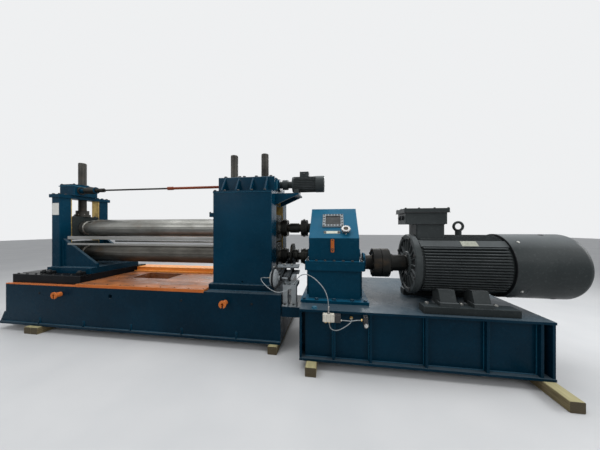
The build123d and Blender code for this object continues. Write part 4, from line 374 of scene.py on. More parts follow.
for material, names in NODE_MATERIALS.items():
    for name in names:
        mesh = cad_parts[name].data
        mesh.materials.clear()
        mesh.materials.append(material)

# The slot that a small part takes with its material, where its call names no other.
SLOTS = {
    BOLT: "coupling_dark",
    BLACKED: "coupling_dark",
    BOLT_BRIGHT: "bright_metal",
    BRIGHT: "bright_metal",
    BRASS: "bright_metal",
    PLATE: "bright_metal",
    PETROL: "petrol_paint",
    PETROL_HIGHLIGHT: "petrol_paint",
    WELD_HIGHLIGHT: "petrol_paint",
    ORANGE: "bollard_orange",
    DECK: "deck_orange",
    GREY: "motor_grey",
    SCREW: "screw_steel",
    DIAL: "valve_cream",
    GLASS: "regulator_dark",
    BLACK_PLASTIC: "regulator_dark",
}


# Mesh tools.

RIGHT, LEFT, FRONT = (1, 0, 0), (-1, 0, 0), (0, -1, 0)
UP, DOWN = (0, 0, 1), (0, 0, -1)
SIDES = (-1, 1)

# A bolt's proportions, as shares of its thread's diameter. The head sits slightly sunk in its washer.
WASHER_RADIUS, WASHER_HEIGHT = 1.05, 0.16
HEAD_SEAT, HEAD_RADIUS, HEAD_HEIGHT = 0.15, 0.92, 0.52
EASE_RADIUS, EASE_HEIGHT = 0.76, 0.14
SOCKET_RADIUS, SOCKET_KEY, SOCKET_HEIGHT = 0.8, 0.42, 0.7

# The radius to which a turned profile narrows where its end is closed.
CLOSED = 0.1

BOX_FACES = ((0, 1, 2, 3), (4, 5, 6, 7), (0, 1, 5, 4), (1, 2, 6, 5), (2, 3, 7, 6), (3, 0, 4, 7))


def angles(count, start=0.0):
    return [2 * math.pi * (n + start) / count for n in range(count)]


class Shape:
    """Simple shapes, in drawing millimetres, gathered into one mesh."""

    def __init__(self):
        self.mesh = bmesh.new()

    def box(self, low, high):
        low, high = at(*low), at(*high)
        size = high - low
        matrix = Matrix.Translation((low + high) / 2) @ Matrix.Diagonal((*size, 1.0))
        bmesh.ops.create_cube(self.mesh, size=1.0, matrix=matrix)
        return self

    def prism(self, base, direction, radius, length, sides=24, top=None, turn=0.0):
        """A cylinder, cone or hexagon that stands on base and rises along direction."""
        direction = Vector(direction).normalized()
        turned = direction.to_track_quat("Z", "Y").to_matrix().to_4x4()
        middle = at(*base) + direction * (length / (2 * MM))
        matrix = Matrix.Translation(middle) @ turned @ Matrix.Rotation(turn, 4, "Z")
        bmesh.ops.create_cone(
            self.mesh, cap_ends=True, segments=sides, radius1=radius / MM,
            radius2=(radius if top is None else top) / MM, depth=length / MM, matrix=matrix,
        )
        return self

    def bolt(self, base, direction, size):
        """A hexagon head with an eased top on a washer; size is the thread's diameter."""
        rise = Vector(direction).normalized()
        self.prism(base, rise, size * WASHER_RADIUS, size * WASHER_HEIGHT, 20)
        head = Vector(base) + rise * size * HEAD_SEAT
        self.prism(head, rise, size * HEAD_RADIUS, size * HEAD_HEIGHT, 6)
        ease = head + rise * size * HEAD_HEIGHT
        return self.prism(ease, rise, size * HEAD_RADIUS, size * EASE_HEIGHT, 6, top=size * EASE_RADIUS)

    def socket_bolt(self, base, direction, size):
        """A round head with a recess, which is a ring round a sunk floor."""
        rim, key, height = size * SOCKET_RADIUS, size * SOCKET_KEY, size * SOCKET_HEIGHT
        floor = height * 0.4
        profile = (
            (0, rim), (height * 0.85, rim), (height, rim * 0.85), (height, key), (floor, key), (floor, CLOSED),
        )
        return self.turned(base, direction, profile, 18)

    def bar(self, start, end, side):
        """A square bar between two points."""
        start, end = Vector(start), Vector(end)
        run = end - start
        return self.prism(start, run, side / math.sqrt(2), run.length, 4, turn=math.pi / 4)

    def turned(self, centre, direction, profile, sides=48):
        """A turned ring or disc: profile holds (along, radius) pairs from one end to the other."""
        turn = Vector(direction).normalized().to_track_quat("Z", "Y").to_matrix()
        origin = at(*centre)
        rings = []
        for along, radius in profile:
            ring = []
            for angle in angles(sides):
                spot = turn @ Vector((math.cos(angle) * radius, math.sin(angle) * radius, along))
                ring.append(self.mesh.verts.new(origin + spot / MM))
            rings.append(ring)
        for first, second in zip(rings, rings[1:]):
            for n in range(sides):
                m = (n + 1) % sides
                self.mesh.faces.new((first[n], first[m], second[m], second[n]))
        return self

    def plate(self, middle, up, out, width, height, low, high):
        """A flat plate, width along X and height along up, between two levels along out over its middle."""
        corners = []
        for level in (low, high):
            for across, rise in ((-1, -1), (1, -1), (1, 1), (-1, 1)):
                spot = middle + up * (rise * height / 2) + out * level
                spot.x += across * width / 2
                corners.append(self.mesh.verts.new(at(*spot)))
        for face in BOX_FACES:
            self.mesh.faces.new([corners[n] for n in face])
        return self


def piece(name, shape, material, body="root", slot=None, bevel=0.0, smooth=35.0):
    slot = slot or SLOTS[material]
    mesh = bpy.data.meshes.new(name)
    bmesh.ops.recalc_face_normals(shape.mesh, faces=shape.mesh.faces)
    shape.mesh.to_mesh(mesh)
    shape.mesh.free()
    mesh.materials.append(material)
    for polygon in mesh.polygons:
        polygon.use_smooth = True
    mesh.set_sharp_from_angle(angle=math.radians(smooth))
    made = bpy.data.objects.new(name, mesh)
    bpy.context.scene.collection.objects.link(made)
    if bevel:
        modifier = made.modifiers.new("eased", "BEVEL")
        modifier.width = bevel / MM
        modifier.segments = 2
        modifier.limit_method = "ANGLE"
        modifier.angle_limit = math.radians(40)
        modifier.harden_normals = True
    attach(made, body)


# Air hoses.

BRAKE_HOSE = (
    (1652, -999, 679), (1652, -999, 752), (1641, -999, 836), (1607, -984, 918), (1543, -944, 984),
    (1465, -884, 1030), (1378, -826, 1052), (1298, -790, 1020), (1242, -782, 938), (1186, -788, 864),
    (1110, -796, 820), (1024, -800, 803), (944, -800, 832), (874, -786, 876), (816, -752, 918),
    (778, -696, 938), (762, -625, 939), (798, -590, 935), (876, -590, 935),
)
RETURN_HOSE = (
    (1660, -999, 561), (1660, -999, 515), (1690, -1008, 484), (1750, -1020, 486), (1812, -1026, 523),
    (1876, -1030, 572), (1903, -998, 592), (1903, -942, 592),
)
SUPPLY_HOSE = (
    (1998, -1006, 606), (1952, -1006, 606), (1896, -1024, 598), (1840, -998, 591), (1795, -998, 591),
)
HOSE_DIAMETER = 0.010


def hose(name, route, node):
    curve = bpy.data.curves.new(name, "CURVE")
    curve.dimensions = "3D"
    curve.resolution_u = 16
    curve.bevel_depth = HOSE_DIAMETER / 2
    curve.bevel_resolution = 4
    spline = curve.splines.new("NURBS")
    spline.points.add(len(route) - 1)
    for point, spot in zip(spline.points, route):
        point.co = (*at(*spot), 1.0)
    spline.order_u = 3
    spline.use_endpoint_u = True
    curve.materials.append(HOSE)
    made = bpy.data.objects.new(name, curve)
    bpy.context.scene.collection.objects.link(made)
    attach(made, "root")
    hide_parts(node)


hose("brake_air_hose", BRAKE_HOSE, "brake_hose")
hose("return_air_hose", RETURN_HOSE, "return_hose")
hose("supply_air_hose", SUPPLY_HOSE, "supply_hose")


# Small parts.

AXIS_LOW, AXIS_HIGH = 1160, 1600
OUTBOARD_SCREW_X = -2870
DRIVE_SCREWS_X = (95, 617)
THREAD_RADIUS, THREAD_DEPTH, THREAD_PITCH = 60, 4, 16
CHOCK_TOP, COLLAR_TOP = 1805, 1843
SYNC_Y, SYNC_Z = -130, 2258
TABLE_TOP, DECK_TOP = 862, 758
STAND_LENGTH = 865
MOTOR_Y = -500


def bolts(name, spots, direction, size, material=BOLT, body="root", slot=None, socket=False):
    shape = Shape()
    for spot in spots:
        if socket:
            shape.socket_bolt(spot, direction, size)
        else:
            shape.bolt(spot, direction, size)
    piece(name, shape, material, body, slot)


def circle_x(x, y, z, radius, count, start=0.5):
    """Places on a circle that faces X."""
    return [(x, y + radius * math.cos(a), z + radius * math.sin(a)) for a in angles(count, start)]


def circle_z(x, z, radius, count):
    """Places on a circle that faces Z, round a screw."""
    return [(x + radius * math.cos(a), radius * math.sin(a), z) for a in angles(count, 0.5)]


def grid(xs, ys, z):
    return [(x, y, z) for x in xs for y in ys]


def beads(name, runs, radius=6, body="root"):
    """Weld beads, half sunk in the corners that they fill."""
    shape = Shape()
    for start, end in runs:
        start, end = Vector(start), Vector(end)
        shape.prism(start, end - start, radius, (end - start).length, 8)
    # The beads take the lighter weld enamel: a painted highlight along the seams.
    piece(name, shape, WELD_HIGHLIGHT, body)


def threads(name, x, spans, body):
    """Thread ridges round an upright screw."""
    for number, (low, high) in enumerate(spans, 1):
        profile = []
        for n in range(int((high - low) / THREAD_PITCH)):
            foot = n * THREAD_PITCH
            profile.append((foot, THREAD_RADIUS - THREAD_DEPTH))
            profile.append((foot + THREAD_PITCH * 0.4, THREAD_RADIUS))
            profile.append((foot + THREAD_PITCH * 0.6, THREAD_RADIUS))
        shape = Shape().turned((x, 0, low), UP, profile, 40)
        piece(f"{name}_{number}", shape, SCREW, body, smooth=20)


def outboard_details():
    stand, chock = "outboard_stand", "outboard_chock"
    plate = Shape().box((-2936, -402, 1818), (-2804, -399, 2016))
    piece("upright_bare_plate", plate, DIAL, stand, bevel=1)
    rivets = [(x, -402, z) for x in (-2926, -2814) for z in (1828, 2006)]
    bolts("upright_plate_rivets", rivets, FRONT, 4, BOLT_BRIGHT, stand, socket=True)
    spots = grid((-2930, -2810), (-388, -300, 215, 300, 388), 2165)
    bolts("outboard_plate_bolts", spots, UP, 22, BOLT, stand)
    bolts("worm_box_bolts", grid((-2996, -2744), (-226, -50, 126), 2360), UP, 16, BOLT, stand)
    bolts("worm_gland_bolts", circle_z(OUTBOARD_SCREW_X, 2382, 77, 6), UP, 10, BOLT, stand, socket=True)
    # The joint plate takes the lighter enamel: painted highlight.
    joint = Shape().box((-3026, -256, 2322), (-2714, 156, 2336))
    piece("worm_box_joint", joint, PETROL_HIGHLIGHT, stand, bevel=3)
    sleeve = Shape().turned((-2720, SYNC_Y, SYNC_Z), RIGHT, ((0, 50), (0, 70), (10, 70), (13, 66), (13, 50)))
    profile = ((0, 46), (0, 51), (4, 58), (200, 58), (214, 52), (216, 30))
    sleeve.turned((-2620, SYNC_Y, SYNC_Z), RIGHT, profile, 40)
    piece("worm_boss_sleeve", sleeve, BLACKED, stand)
    bolts("worm_boss_bolts", circle_x(-2707, SYNC_Y, SYNC_Z, 60, 6), RIGHT, 8, BOLT, stand, socket=True)
    lugs = Shape()
    studs = []
    for side in SIDES:
        for x in (-2945, -2830, -2260):
            low, high = sorted((side * 438, side * 528))
            lugs.box((x - 38, low, 864), (x + 38, high, 902))
            studs.append((x, side * 500, 902))
    piece("base_clamps", lugs, DARK, stand, "table_black", bevel=5)
    bolts("base_clamp_nuts", studs, UP, 26, BOLT, stand)
    runs = []
    for side in SIDES:
        runs.append(((-2950, side * 400, 957), (-2790, side * 400, 957)))
        for y in (side * 352, side * 308):
            runs.append(((-2128, y, 957), (-2786, y, 957)))
        runs.append(((-2790, side * 352, 960), (-2790, side * 352, 1400)))
    beads("outboard_welds", runs, 7, stand)
    threads("outboard_thread", OUTBOARD_SCREW_X, ((1920, 2050), (2392, 2776)), chock)
    spots = circle_z(OUTBOARD_SCREW_X, COLLAR_TOP, 102, 8)
    bolts("outboard_collar_bolts", spots, UP, 9, BOLT_BRIGHT, chock, socket=True)
    bolts("outboard_chock_bolts", grid((-2926, -2814), (-172, 172), CHOCK_TOP), UP, 18, BOLT, chock)
    for z, body, name in ((AXIS_LOW, stand, "lower"), (AXIS_HIGH, chock, "upper")):
        spots = circle_x(-2960, 0, z, 154, 8)
        bolts(f"outboard_{name}_cover_bolts", spots, LEFT, 12, BOLT, body, socket=True)
        profile = ((0, 103), (0, 122), (8, 122), (12, 116), (12, 103))
        ring = Shape().turned((-2966, 0, z), LEFT, profile, 56)
        piece(f"outboard_{name}_seal_ring", ring, BLACKED, body)


def bed_details():
    ledge = Shape().box((-3430, -661.5, 716), (-2120, -600, 731))
    piece("bed_ledge_paint", ledge, ORANGE, bevel=2)
    lip = Shape().box((-2119, -662, 714), (-46, -640, 757))
    piece("deck_front_lip", lip, ORANGE, slot="deck_orange", bevel=3)
    spots = grid(range(-3340, -2150, 170), (-566, 566), TABLE_TOP)
    bolts("table_screws", spots, UP, 18, slot="table_black", socket=True)
    deck_x = range(-2050, -60, 220)
    bolts("deck_screws", grid(deck_x, (-625,), DECK_TOP) + grid(deck_x, (295,), DECK_TOP), UP, 9, socket=True)
    left, right, front, back, low, high = -1700, -1000, -150, 250, 470, 729
    skin = 3
    lining = Shape()
    lining.box((left, front, low), (left + skin, back, high))
    lining.box((right - skin, front, low), (right, back, high))
    lining.box((left, front, low), (right, front + skin, high))
    lining.box((left, back - skin, low), (right, back, high))
    lining.box((left, front, low), (right, back, low + skin))
    piece("scrap_pit_lining", lining, DECK)
    runs = []
    for x in (427, -373, -1173, -1973, -2773):
        for side in SIDES:
            for face in (x - 9, x + 9):
                runs.append(((face, side * 661, 130), (face, side * 661, 216)))
    for side in SIDES:
        runs.append(((-3430, side * 661, 131), (1030, side * 661, 131)))
    beads("bed_welds", runs, 5)
    plugs = Shape()
    for side in SIDES:
        for x in (-2780, -380, 640):
            plugs.turned((x, side * 660, 596), (0, side, 0), ((0, 16), (3, 16), (5, 13), (5, CLOSED)), 20)
    piece("bed_plugs", plugs, DARK, slot="coupling_dark")


def stand_details():
    chock = "drive_chock"
    bolts("gearcase_bolts", grid((98, 321, 392, 579, 801), (-300, 300), 2355), UP, 27)
    # Bars along the gussets' sloped edges, in the lighter enamel: painted highlight.
    edges = Shape()
    for x in (108, 324, 541, 757):
        for side in SIDES:
            edges.bar((x, side * 333, 2338), (x, side * 450, 2150), 15)
    piece("gusset_edges", edges, PETROL_HIGHLIGHT, bevel=2)
    bolts("stand_plate_bolts", grid((25, 175, 375, 575, 765), (-485, 485), 2130), UP, 20)
    bolts("side_block_bolt", [(-70, -445, 1820)], LEFT, 16)
    runs = []
    for side in SIDES:
        runs.append(((0, side * 501, 812), (STAND_LENGTH, side * 501, 812)))
        runs.append(((0, side * 501, 2104), (STAND_LENGTH, side * 501, 2104)))
        runs.append(((-45, side * 546, 732), (910, side * 546, 732)))
        for x in (-1, STAND_LENGTH + 1):
            runs.append(((x, side * 500, 812), (x, side * 240, 812)))
    beads("stand_welds", runs, 5)
    # The end cover takes the lighter enamel: painted highlight on a face turned to the light.
    cover = Shape().box((STAND_LENGTH, -262, 2166), (881, 2, 2344))
    piece("gearcase_end_cover", cover, PETROL_HIGHLIGHT, bevel=4)
    spots = [(881, y, z) for y in (-246, -14) for z in (2182, 2328)] + [(881, -130, 2334)]
    bolts("gearcase_end_bolts", spots, RIGHT, 11)
    for number, x in enumerate(DRIVE_SCREWS_X, 1):
        threads(f"drive_thread_{number}", x, ((1920, 2045), (2388, 2776)), chock)
        bolts(f"screw_gland_bolts_{number}", circle_z(x, 2377, 77, 6), UP, 10, socket=True)
        spots = circle_z(x, COLLAR_TOP, 102, 8)
        bolts(f"drive_collar_bolts_{number}", spots, UP, 9, BOLT_BRIGHT, chock, socket=True)
    bolts("drive_chock_bolts", grid((356,), (-172, 172), CHOCK_TOP), UP, 18, BOLT, chock)
    for z, body, name in ((AXIS_LOW, "root", "lower"), (AXIS_HIGH, chock, "upper")):
        bolts(f"drive_{name}_cover_bolts", circle_x(855, 0, z, 154, 8), RIGHT, 12, BOLT, body, socket=True)


def screw_motor_details():
    spots = grid((1222, 1332), (-178, -82), 2439.5)
    bolts("screw_motor_box_screws", spots, UP, 7, BOLT_BRIGHT, socket=True)
    plug = Shape().prism((1278, -186, 2405), FRONT, 15, 10, 6)
    plug.turned((1278, -196, 2405), FRONT, ((0, 12), (8, 12), (12, 8), (12, CLOSED)), 20)
    piece("screw_motor_plug", plug, BLACK_PLASTIC)
    spots = circle_x(1126, SYNC_Y, SYNC_Z, 111, 4)
    bolts("screw_motor_flange_bolts", spots, RIGHT, 8, BOLT_BRIGHT, socket=True)
    vents = Shape()
    for radius in (30, 48, 66, 84):
        profile = ((0, radius - 5), (1.2, radius - 5), (1.2, radius + 5), (0, radius + 5))
        vents.turned((1575.5, SYNC_Y, SYNC_Z), RIGHT, profile, 40)
    piece("screw_motor_vents", vents, BLACK_PLASTIC)
    beads("bracket_welds", [((866, -320, 1937), (866, 60, 1937)), ((866, -150, 2103), (866, -320, 2103))], 5)


# The gearbox's front slope, and what is set on it by its X and its share of the slope's height.
SLOPE_LOW, SLOPE_HIGH = Vector((0, -670, 1472)), Vector((0, -230, 1874))
SLOPE_UP = (SLOPE_HIGH - SLOPE_LOW).normalized()
SLOPE_OUT = Vector((0, -SLOPE_UP.z, SLOPE_UP.y))
WINDOW_X, WINDOW_SHARE = 1702, 0.55
BREATHER_X, BREATHER_SHARE = 1862, 0.2
SLOPE_PLATE_X, SLOPE_PLATE_SHARE = 1688, 0.18


def on_slope(x, share, along=0.0, out=0.0):
    """A place on the gearbox's front slope, with offsets along and off it."""
    return Vector((x, 0, 0)) + SLOPE_LOW.lerp(SLOPE_HIGH, share) + SLOPE_UP * along + SLOPE_OUT * out


def slope_plate(x, share, width, height, low, high):
    """A flat plate that lies on the slope between two levels over it."""
    return Shape().plate(on_slope(x, share), SLOPE_UP, SLOPE_OUT, width, height, low, high)


def round_breather(radius, count, start, out):
    """Places on a circle round the breather."""
    spots = []
    for angle in angles(count, start):
        x = BREATHER_X + radius * math.cos(angle)
        spots.append(on_slope(x, BREATHER_SHARE, radius * math.sin(angle), out))
    return spots


def gearbox_details():
    spots = grid((1384, 1494, 1604, 1715, 1826, 1936, 2046), (-694, 694), 1190)
    spots += grid((1376, 2054), (-590, -460, -330, -200, 200, 330, 460, 590), 1190)
    bolts("gearbox_joint_bolts", spots, UP, 18)
    bolts("gearbox_foot_bolts", grid((1345, 1500, 1715, 1930, 2085), (-715, 715), 715), UP, 26, PETROL)
    caps = (
        (2100, RIGHT, MOTOR_Y, AXIS_LOW, 110),
        (2100, RIGHT, 0, AXIS_LOW, 117),
        (2042, RIGHT, 0, AXIS_HIGH, 117),
        (1330, LEFT, 0, AXIS_LOW, 117),
        (1378, LEFT, 0, AXIS_HIGH, 117),
    )
    for number, (x, direction, y, z, radius) in enumerate(caps, 1):
        bolts(f"bearing_cap_bolts_{number}", circle_x(x, y, z, radius, 8), direction, 11)
    seals = Shape()
    shafts = ((2108, RIGHT, MOTOR_Y, AXIS_LOW), (1322, LEFT, 0, AXIS_LOW), (1370, LEFT, 0, AXIS_HIGH))
    for x, direction, y, z in shafts:
        seals.turned((x, y, z), direction, ((0, 93), (0, 99), (3, 99), (5, 96), (5, 93)))
    piece("shaft_seals", seals, BLACK_PLASTIC)
    piece("window_pane", slope_plate(WINDOW_X, WINDOW_SHARE, 203, 178, 10, 11.5), GLASS)
    spots = []
    for n in range(-3, 4):
        for along in (-107, 107):
            spots.append(on_slope(WINDOW_X + 40 * n, WINDOW_SHARE, along, 22))
    for x in (WINDOW_X - 120, WINDOW_X + 120):
        for along in (-54, 0, 54):
            spots.append(on_slope(x, WINDOW_SHARE, along, 22))
    bolts("window_bolts", spots, SLOPE_OUT, 11)
    plate = slope_plate(SLOPE_PLATE_X, SLOPE_PLATE_SHARE, 205, 46, 0, 2.5)
    piece("slope_bare_plate", plate, PLATE, bevel=1)
    for number, x in enumerate((SLOPE_PLATE_X - 88, SLOPE_PLATE_X + 88), 1):
        end = slope_plate(x, SLOPE_PLATE_SHARE, 34, 34, 2.4, 6)
        piece(f"slope_plate_end_{number}", end, BOLT, bevel=1)
    bolts("breather_bolts", round_breather(45, 6, 0.5, 1), SLOPE_OUT, 7, BOLT_BRIGHT, socket=True)
    grips = Shape()
    for spot in round_breather(54, 12, 0.0, 36):
        grips.prism(spot, SLOPE_OUT, 7, 22, 12)
    piece("breather_grips", grips, BRIGHT)
    spot = on_slope(BREATHER_X, BREATHER_SHARE, 0, 61)
    centre = Shape().turned(spot, SLOPE_OUT, ((0, 30), (2, 30), (2.6, 27), (2.6, CLOSED)), 40)
    piece("breather_centre", centre, BLACKED)
    groove = Shape().box((1688, -693.5, 1330), (1702, -690, 1446))
    piece("gauge_slot", groove, ORANGE, bevel=1)
    tube = Shape().box((1690, -694.5, 1345), (1700, -692, 1440))
    piece("gauge_tube", tube, ORANGE, bevel=1)
    nuts = Shape()
    for z in (1317, 1450):
        nuts.prism((1695, -692, z), FRONT, 9, 7, 6)
    piece("gauge_nuts", nuts, BOLT)
    ring = Shape().turned((1695, -692, 1336), FRONT, ((0, 8), (0, 15), (3, 15), (3, 8)), 28)
    piece("gauge_ring", ring, BLACK_PLASTIC)
    runs = []
    for side in SIDES:
        for z in (717, 1074):
            runs.append(((1400, side * 671, z), (2030, side * 671, z)))
    for x in (1399, 2031):
        runs.append(((x, -670, 717), (x, 670, 717)))
    beads("gearbox_welds", runs, 5)


# The motor's plate, held at an angle over its fins.
PLATE_X, PLATE_ANGLE, PLATE_RADIUS, PLATE_THICKNESS = 3208, 49, 347, 3.5

# The fins on the motor's top stand between two radii, and stop at the terminal box and the eyebolt.
FIN_PITCH, FIN_FOOT, FIN_TIP, FIN_HALF = 28, 330, 358, 4.5
FIN_START, FIN_END = 2712, 3562
TERMINAL_HALF, TERMINAL_END = 145, 3006
EYEBOLT_HALF, EYEBOLT_START, EYEBOLT_END = 45, 3170, 3260


def motor_outward(degrees):
    """The direction out of the motor, from its front at 0 degrees to its top at 90."""
    angle = math.radians(degrees)
    return Vector((0, -math.cos(angle), math.sin(angle)))


def on_motor(x, radius, degrees):
    return Vector((x, MOTOR_Y, AXIS_LOW)) + motor_outward(degrees) * radius


def motor_details():
    y, z = MOTOR_Y, AXIS_LOW
    bolts("end_bell_bolts", circle_x(2612, y, z, 331, 8), LEFT, 18)
    bolts("bearing_cover_bolts", circle_x(2612, y, z, 120, 6, 0.0), LEFT, 12)
    # A dark ring just inside the end bell's air slots: painted shade, so the slots read as openings.
    shadow = Shape().turned((2645.5, y, z), LEFT, ((0, 151), (0.5, 151), (0.5, 299), (0, 299)), 72)
    piece("air_slot_painted_shade", shadow, BLACK_PLASTIC)
    ring = Shape().turned((2612, y, z), LEFT, ((0, 76), (0, 98), (7, 98), (10, 94), (10, 76)), 56)
    piece("motor_shaft_seal", ring, BLACKED)
    profile = ((0, 71), (0, 97), (4, 101), (192, 101), (196, 97), (196, 71))
    hub = Shape().turned((2394, y, z), RIGHT, profile, 64)
    piece("motor_side_hub", hub, BLACKED, "input_line")
    seam = Shape().turned((3588, y, z), RIGHT, ((0, 340), (0, 369.5), (5, 369.5), (5, 340)), 96)
    piece("cowl_edge_ring", seam, DARK, slot="motor_grey")
    screws = Shape()
    for degrees in (51, 129, -40, -140):
        profile = ((0, 15), (2.5, 15), (2.5, 11), (8, 10), (11, 6), (11, CLOSED))
        screws.turned(on_motor(3690, 368, degrees), motor_outward(degrees), profile, 20)
    piece("cowl_screws", screws, BOLT_BRIGHT)
    plugs = Shape()
    for x, degrees in ((4030, 78), (3700, -75), (4100, -68)):
        profile = ((0, 24), (3, 24), (4.5, 21), (4.5, 15), (2, 14), (2, CLOSED))
        plugs.turned(on_motor(x, 367, degrees), motor_outward(degrees), profile, 28)
    piece("cowl_plugs", plugs, BLACK_PLASTIC)
    # The dark disc behind the fan blades, inside the cowl, is painted shade; the blades stand on it.
    fan = Shape().turned((4271, y, z), RIGHT, ((0, 20), (0.8, 20), (0.8, 249), (0, 249)), 72)
    for angle in angles(9):
        outward = Vector((0, math.cos(angle), math.sin(angle)))
        fan.bar(Vector((4274, y, z)) + outward * 62, Vector((4278, y, z)) + outward * 238, 11)
    piece("cooling_fan_on_painted_shade", fan, BLACK_PLASTIC)
    spots = grid((2556, 2705, 2875, 3024), (-669, -331), 1832) + grid((2556, 3024), (y,), 1832)
    bolts("terminal_lid_bolts", spots, UP, 12)
    outward = motor_outward(PLATE_ANGLE)
    along = Vector((0, outward.z, -outward.y))
    middle = Vector((PLATE_X, y, z))
    top = PLATE_RADIUS + PLATE_THICKNESS
    plate = Shape().plate(middle, along, outward, 168, 80, PLATE_RADIUS, top)
    piece("motor_bare_plate", plate, PLATE, bevel=1)
    spots = []
    for x in (PLATE_X - 76, PLATE_X + 76):
        for rise in (-32, 32):
            spots.append(Vector((x, y, z)) + outward * top + along * rise)
    bolts("motor_plate_rivets", spots, outward, 4, BOLT_BRIGHT, socket=True)
    fins = Shape()
    for n in range(-6, 7):
        offset = FIN_PITCH * n
        low = z + math.sqrt(FIN_FOOT**2 - offset**2) - 4
        high = z + math.sqrt(FIN_TIP**2 - offset**2)
        if abs(offset) > TERMINAL_HALF:
            runs = ((FIN_START, FIN_END),)
        elif abs(offset) > EYEBOLT_HALF:
            runs = ((TERMINAL_END, FIN_END),)
        else:
            runs = ((TERMINAL_END, EYEBOLT_START), (EYEBOLT_END, FIN_END))
        for left, right in runs:
            fins.box((left, y + offset - FIN_HALF, low), (right, y + offset + FIN_HALF, high))
    piece("top_fins", fins, GREY)
    plugs = Shape()
    for place in (-560, -440):
        plugs.prism((2560, place, 1725), LEFT, 30, 10, 6)
        plugs.turned((2550, place, 1725), LEFT, ((0, 24), (8, 24), (11, 20), (11, CLOSED)), 28)
    piece("cable_entry_plugs", plugs, DARK, slot="motor_grey", bevel=1)
    bolts("rail_bolts", grid((2740, 3092, 3430), (-796, -204), 760), UP, 22, BOLT_BRIGHT)
    gasket = Shape().box((2538.5, -686.5, 1782), (3041.5, -313.5, 1786))
    piece("terminal_lid_gasket", gasket, BLACK_PLASTIC)
    gasket = Shape().box((2691, -642, 1640), (3001, -358, 1645))
    piece("terminal_box_gasket", gasket, BLACK_PLASTIC)
    collar = Shape().turned((3215, y, 1562), UP, ((0, 36), (8, 36), (12, 32), (12, 16)), 32)
    piece("eyebolt_collar", collar, DARK, slot="motor_grey")


# The centre of the brake's chamber, and the tilt of its lever pins.
CHAMBER_Y, CHAMBER_Z = -590, 935
PIN_TILT = math.radians(19.01)
PIN_UP = Vector((0, -math.sin(PIN_TILT), math.cos(PIN_TILT)))
PIN_REACH = Vector((0, math.cos(PIN_TILT), math.sin(PIN_TILT)))


def brake_details():
    profile = ((0, 124), (2, 137), (6, 139), (18, 139), (22, 137), (24, 124))
    clamp = Shape().turned((916, CHAMBER_Y, CHAMBER_Z), RIGHT, profile, 64)
    piece("chamber_clamp", clamp, DARK, slot="lever_dark")
    lug = Shape().box((914, -602, 1070), (942, -578, 1094))
    piece("chamber_clamp_lug", lug, DARK, slot="lever_dark", bevel=3)
    bolts("chamber_clamp_bolt", [(928, -602, 1083)], FRONT, 9, BOLT_BRIGHT)
    nut = Shape().prism((876, CHAMBER_Y, CHAMBER_Z), LEFT, 15, 14, 6)
    nut.prism((862, CHAMBER_Y, CHAMBER_Z), LEFT, 10, 8, 20)
    piece("chamber_fitting", nut, BRASS, bevel=1)
    for name, direction in (("brake_pin_nuts", PIN_UP), ("brake_pin_heads", -PIN_UP)):
        spots = []
        for x in (1024.5, 1125.5):
            spots.append(Vector((x, CHAMBER_Y, CHAMBER_Z)) + PIN_REACH * 250 + direction * 69)
        bolts(name, spots, direction, 16, BOLT_BRIGHT)
    bolts("brake_post_bolts", grid((1077, 1192), (-616, -474), 597), UP, 16)
    bolts("brake_carrier_bolts", grid((1065, 1130, 1195), (-560,), 850), UP, 14)
    bolts("disc_hub_bolts", circle_x(1090, 0, AXIS_LOW, 154, 8), RIGHT, 10, BOLT, "lower_arbor", socket=True)


DIAL_X, DIAL_Z = 2046, 572


def air_details():
    fittings = Shape()
    for x in (1660, 1622):
        fittings.prism((x, -999, 575), DOWN, 15, 9, 6)
        fittings.prism((x, -999, 566), DOWN, 11, 9, 20)
    fittings.prism((1903, -908, 592), FRONT, 19, 12, 6)
    fittings.prism((1903, -920, 592), FRONT, 12, 20, 20)
    fittings.prism((2010, -1006, 606), LEFT, 14, 12, 6)
    piece("brass_fittings", fittings, BRASS, bevel=1)
    sleeve = Shape().prism((1652, -999, 655), UP, 17, 12, 6)
    sleeve.turned((1652, -999, 667), UP, ((0, 12), (6, 12), (8, 10), (64, 10), (68, 7.5), (72, 6)), 28)
    piece("hose_sleeve", sleeve, BRIGHT)
    coil = Shape().box((1717.5, -1019.5, 567.5), (1782.5, -944.5, 656.5))
    piece("solenoid_shell", coil, BLACK_PLASTIC, bevel=5)
    spots = [(x, -1028, z) for x in (1600, 1704) for z in (585, 645)]
    bolts("valve_screws", spots, FRONT, 6, BOLT_BRIGHT, socket=True)
    joints = Shape()
    for x in (1632, 1674):
        joints.box((x - 0.8, -1028.4, 576), (x + 0.8, -1020, 654))
    piece("valve_joints", joints, BLACK_PLASTIC)
    profile = ((-14, 21.5), (0, 22.5), (3, 22.5), (4, 20), (1.5, 19), (0, 19))
    bezel = Shape().turned((DIAL_X, -1056, DIAL_Z), FRONT, profile, 40)
    piece("dial_bezel", bezel, BRIGHT)
    dial = Shape().turned((DIAL_X, -1056, DIAL_Z), FRONT, ((0, 19.2), (1, 19.2), (1, CLOSED)), 40)
    piece("dial_face", dial, DIAL)
    centre = Vector((DIAL_X, -1057, DIAL_Z))
    marks = Shape()
    for n in range(11):
        angle = math.radians(225 - 27 * n)
        outward = Vector((math.cos(angle), 0, math.sin(angle)))
        marks.bar(centre + outward * 14, centre + outward * 17.5, 0.9)
    marks.bar((DIAL_X, -1057.6, DIAL_Z), (DIAL_X - 11, -1057.6, DIAL_Z + 9), 1.2)
    marks.prism(centre, FRONT, 2.4, 1.4, 16)
    piece("dial_marks", marks, BLACK_PLASTIC)
    spots = [(2032, -1007, 646), (2060, -1007, 646)]
    bolts("regulator_screws", spots, FRONT, 5, BOLT_BRIGHT, socket=True)


BASE_LEFT, BASE_RIGHT = 1382, 3788
RIB_THICKNESS = 25


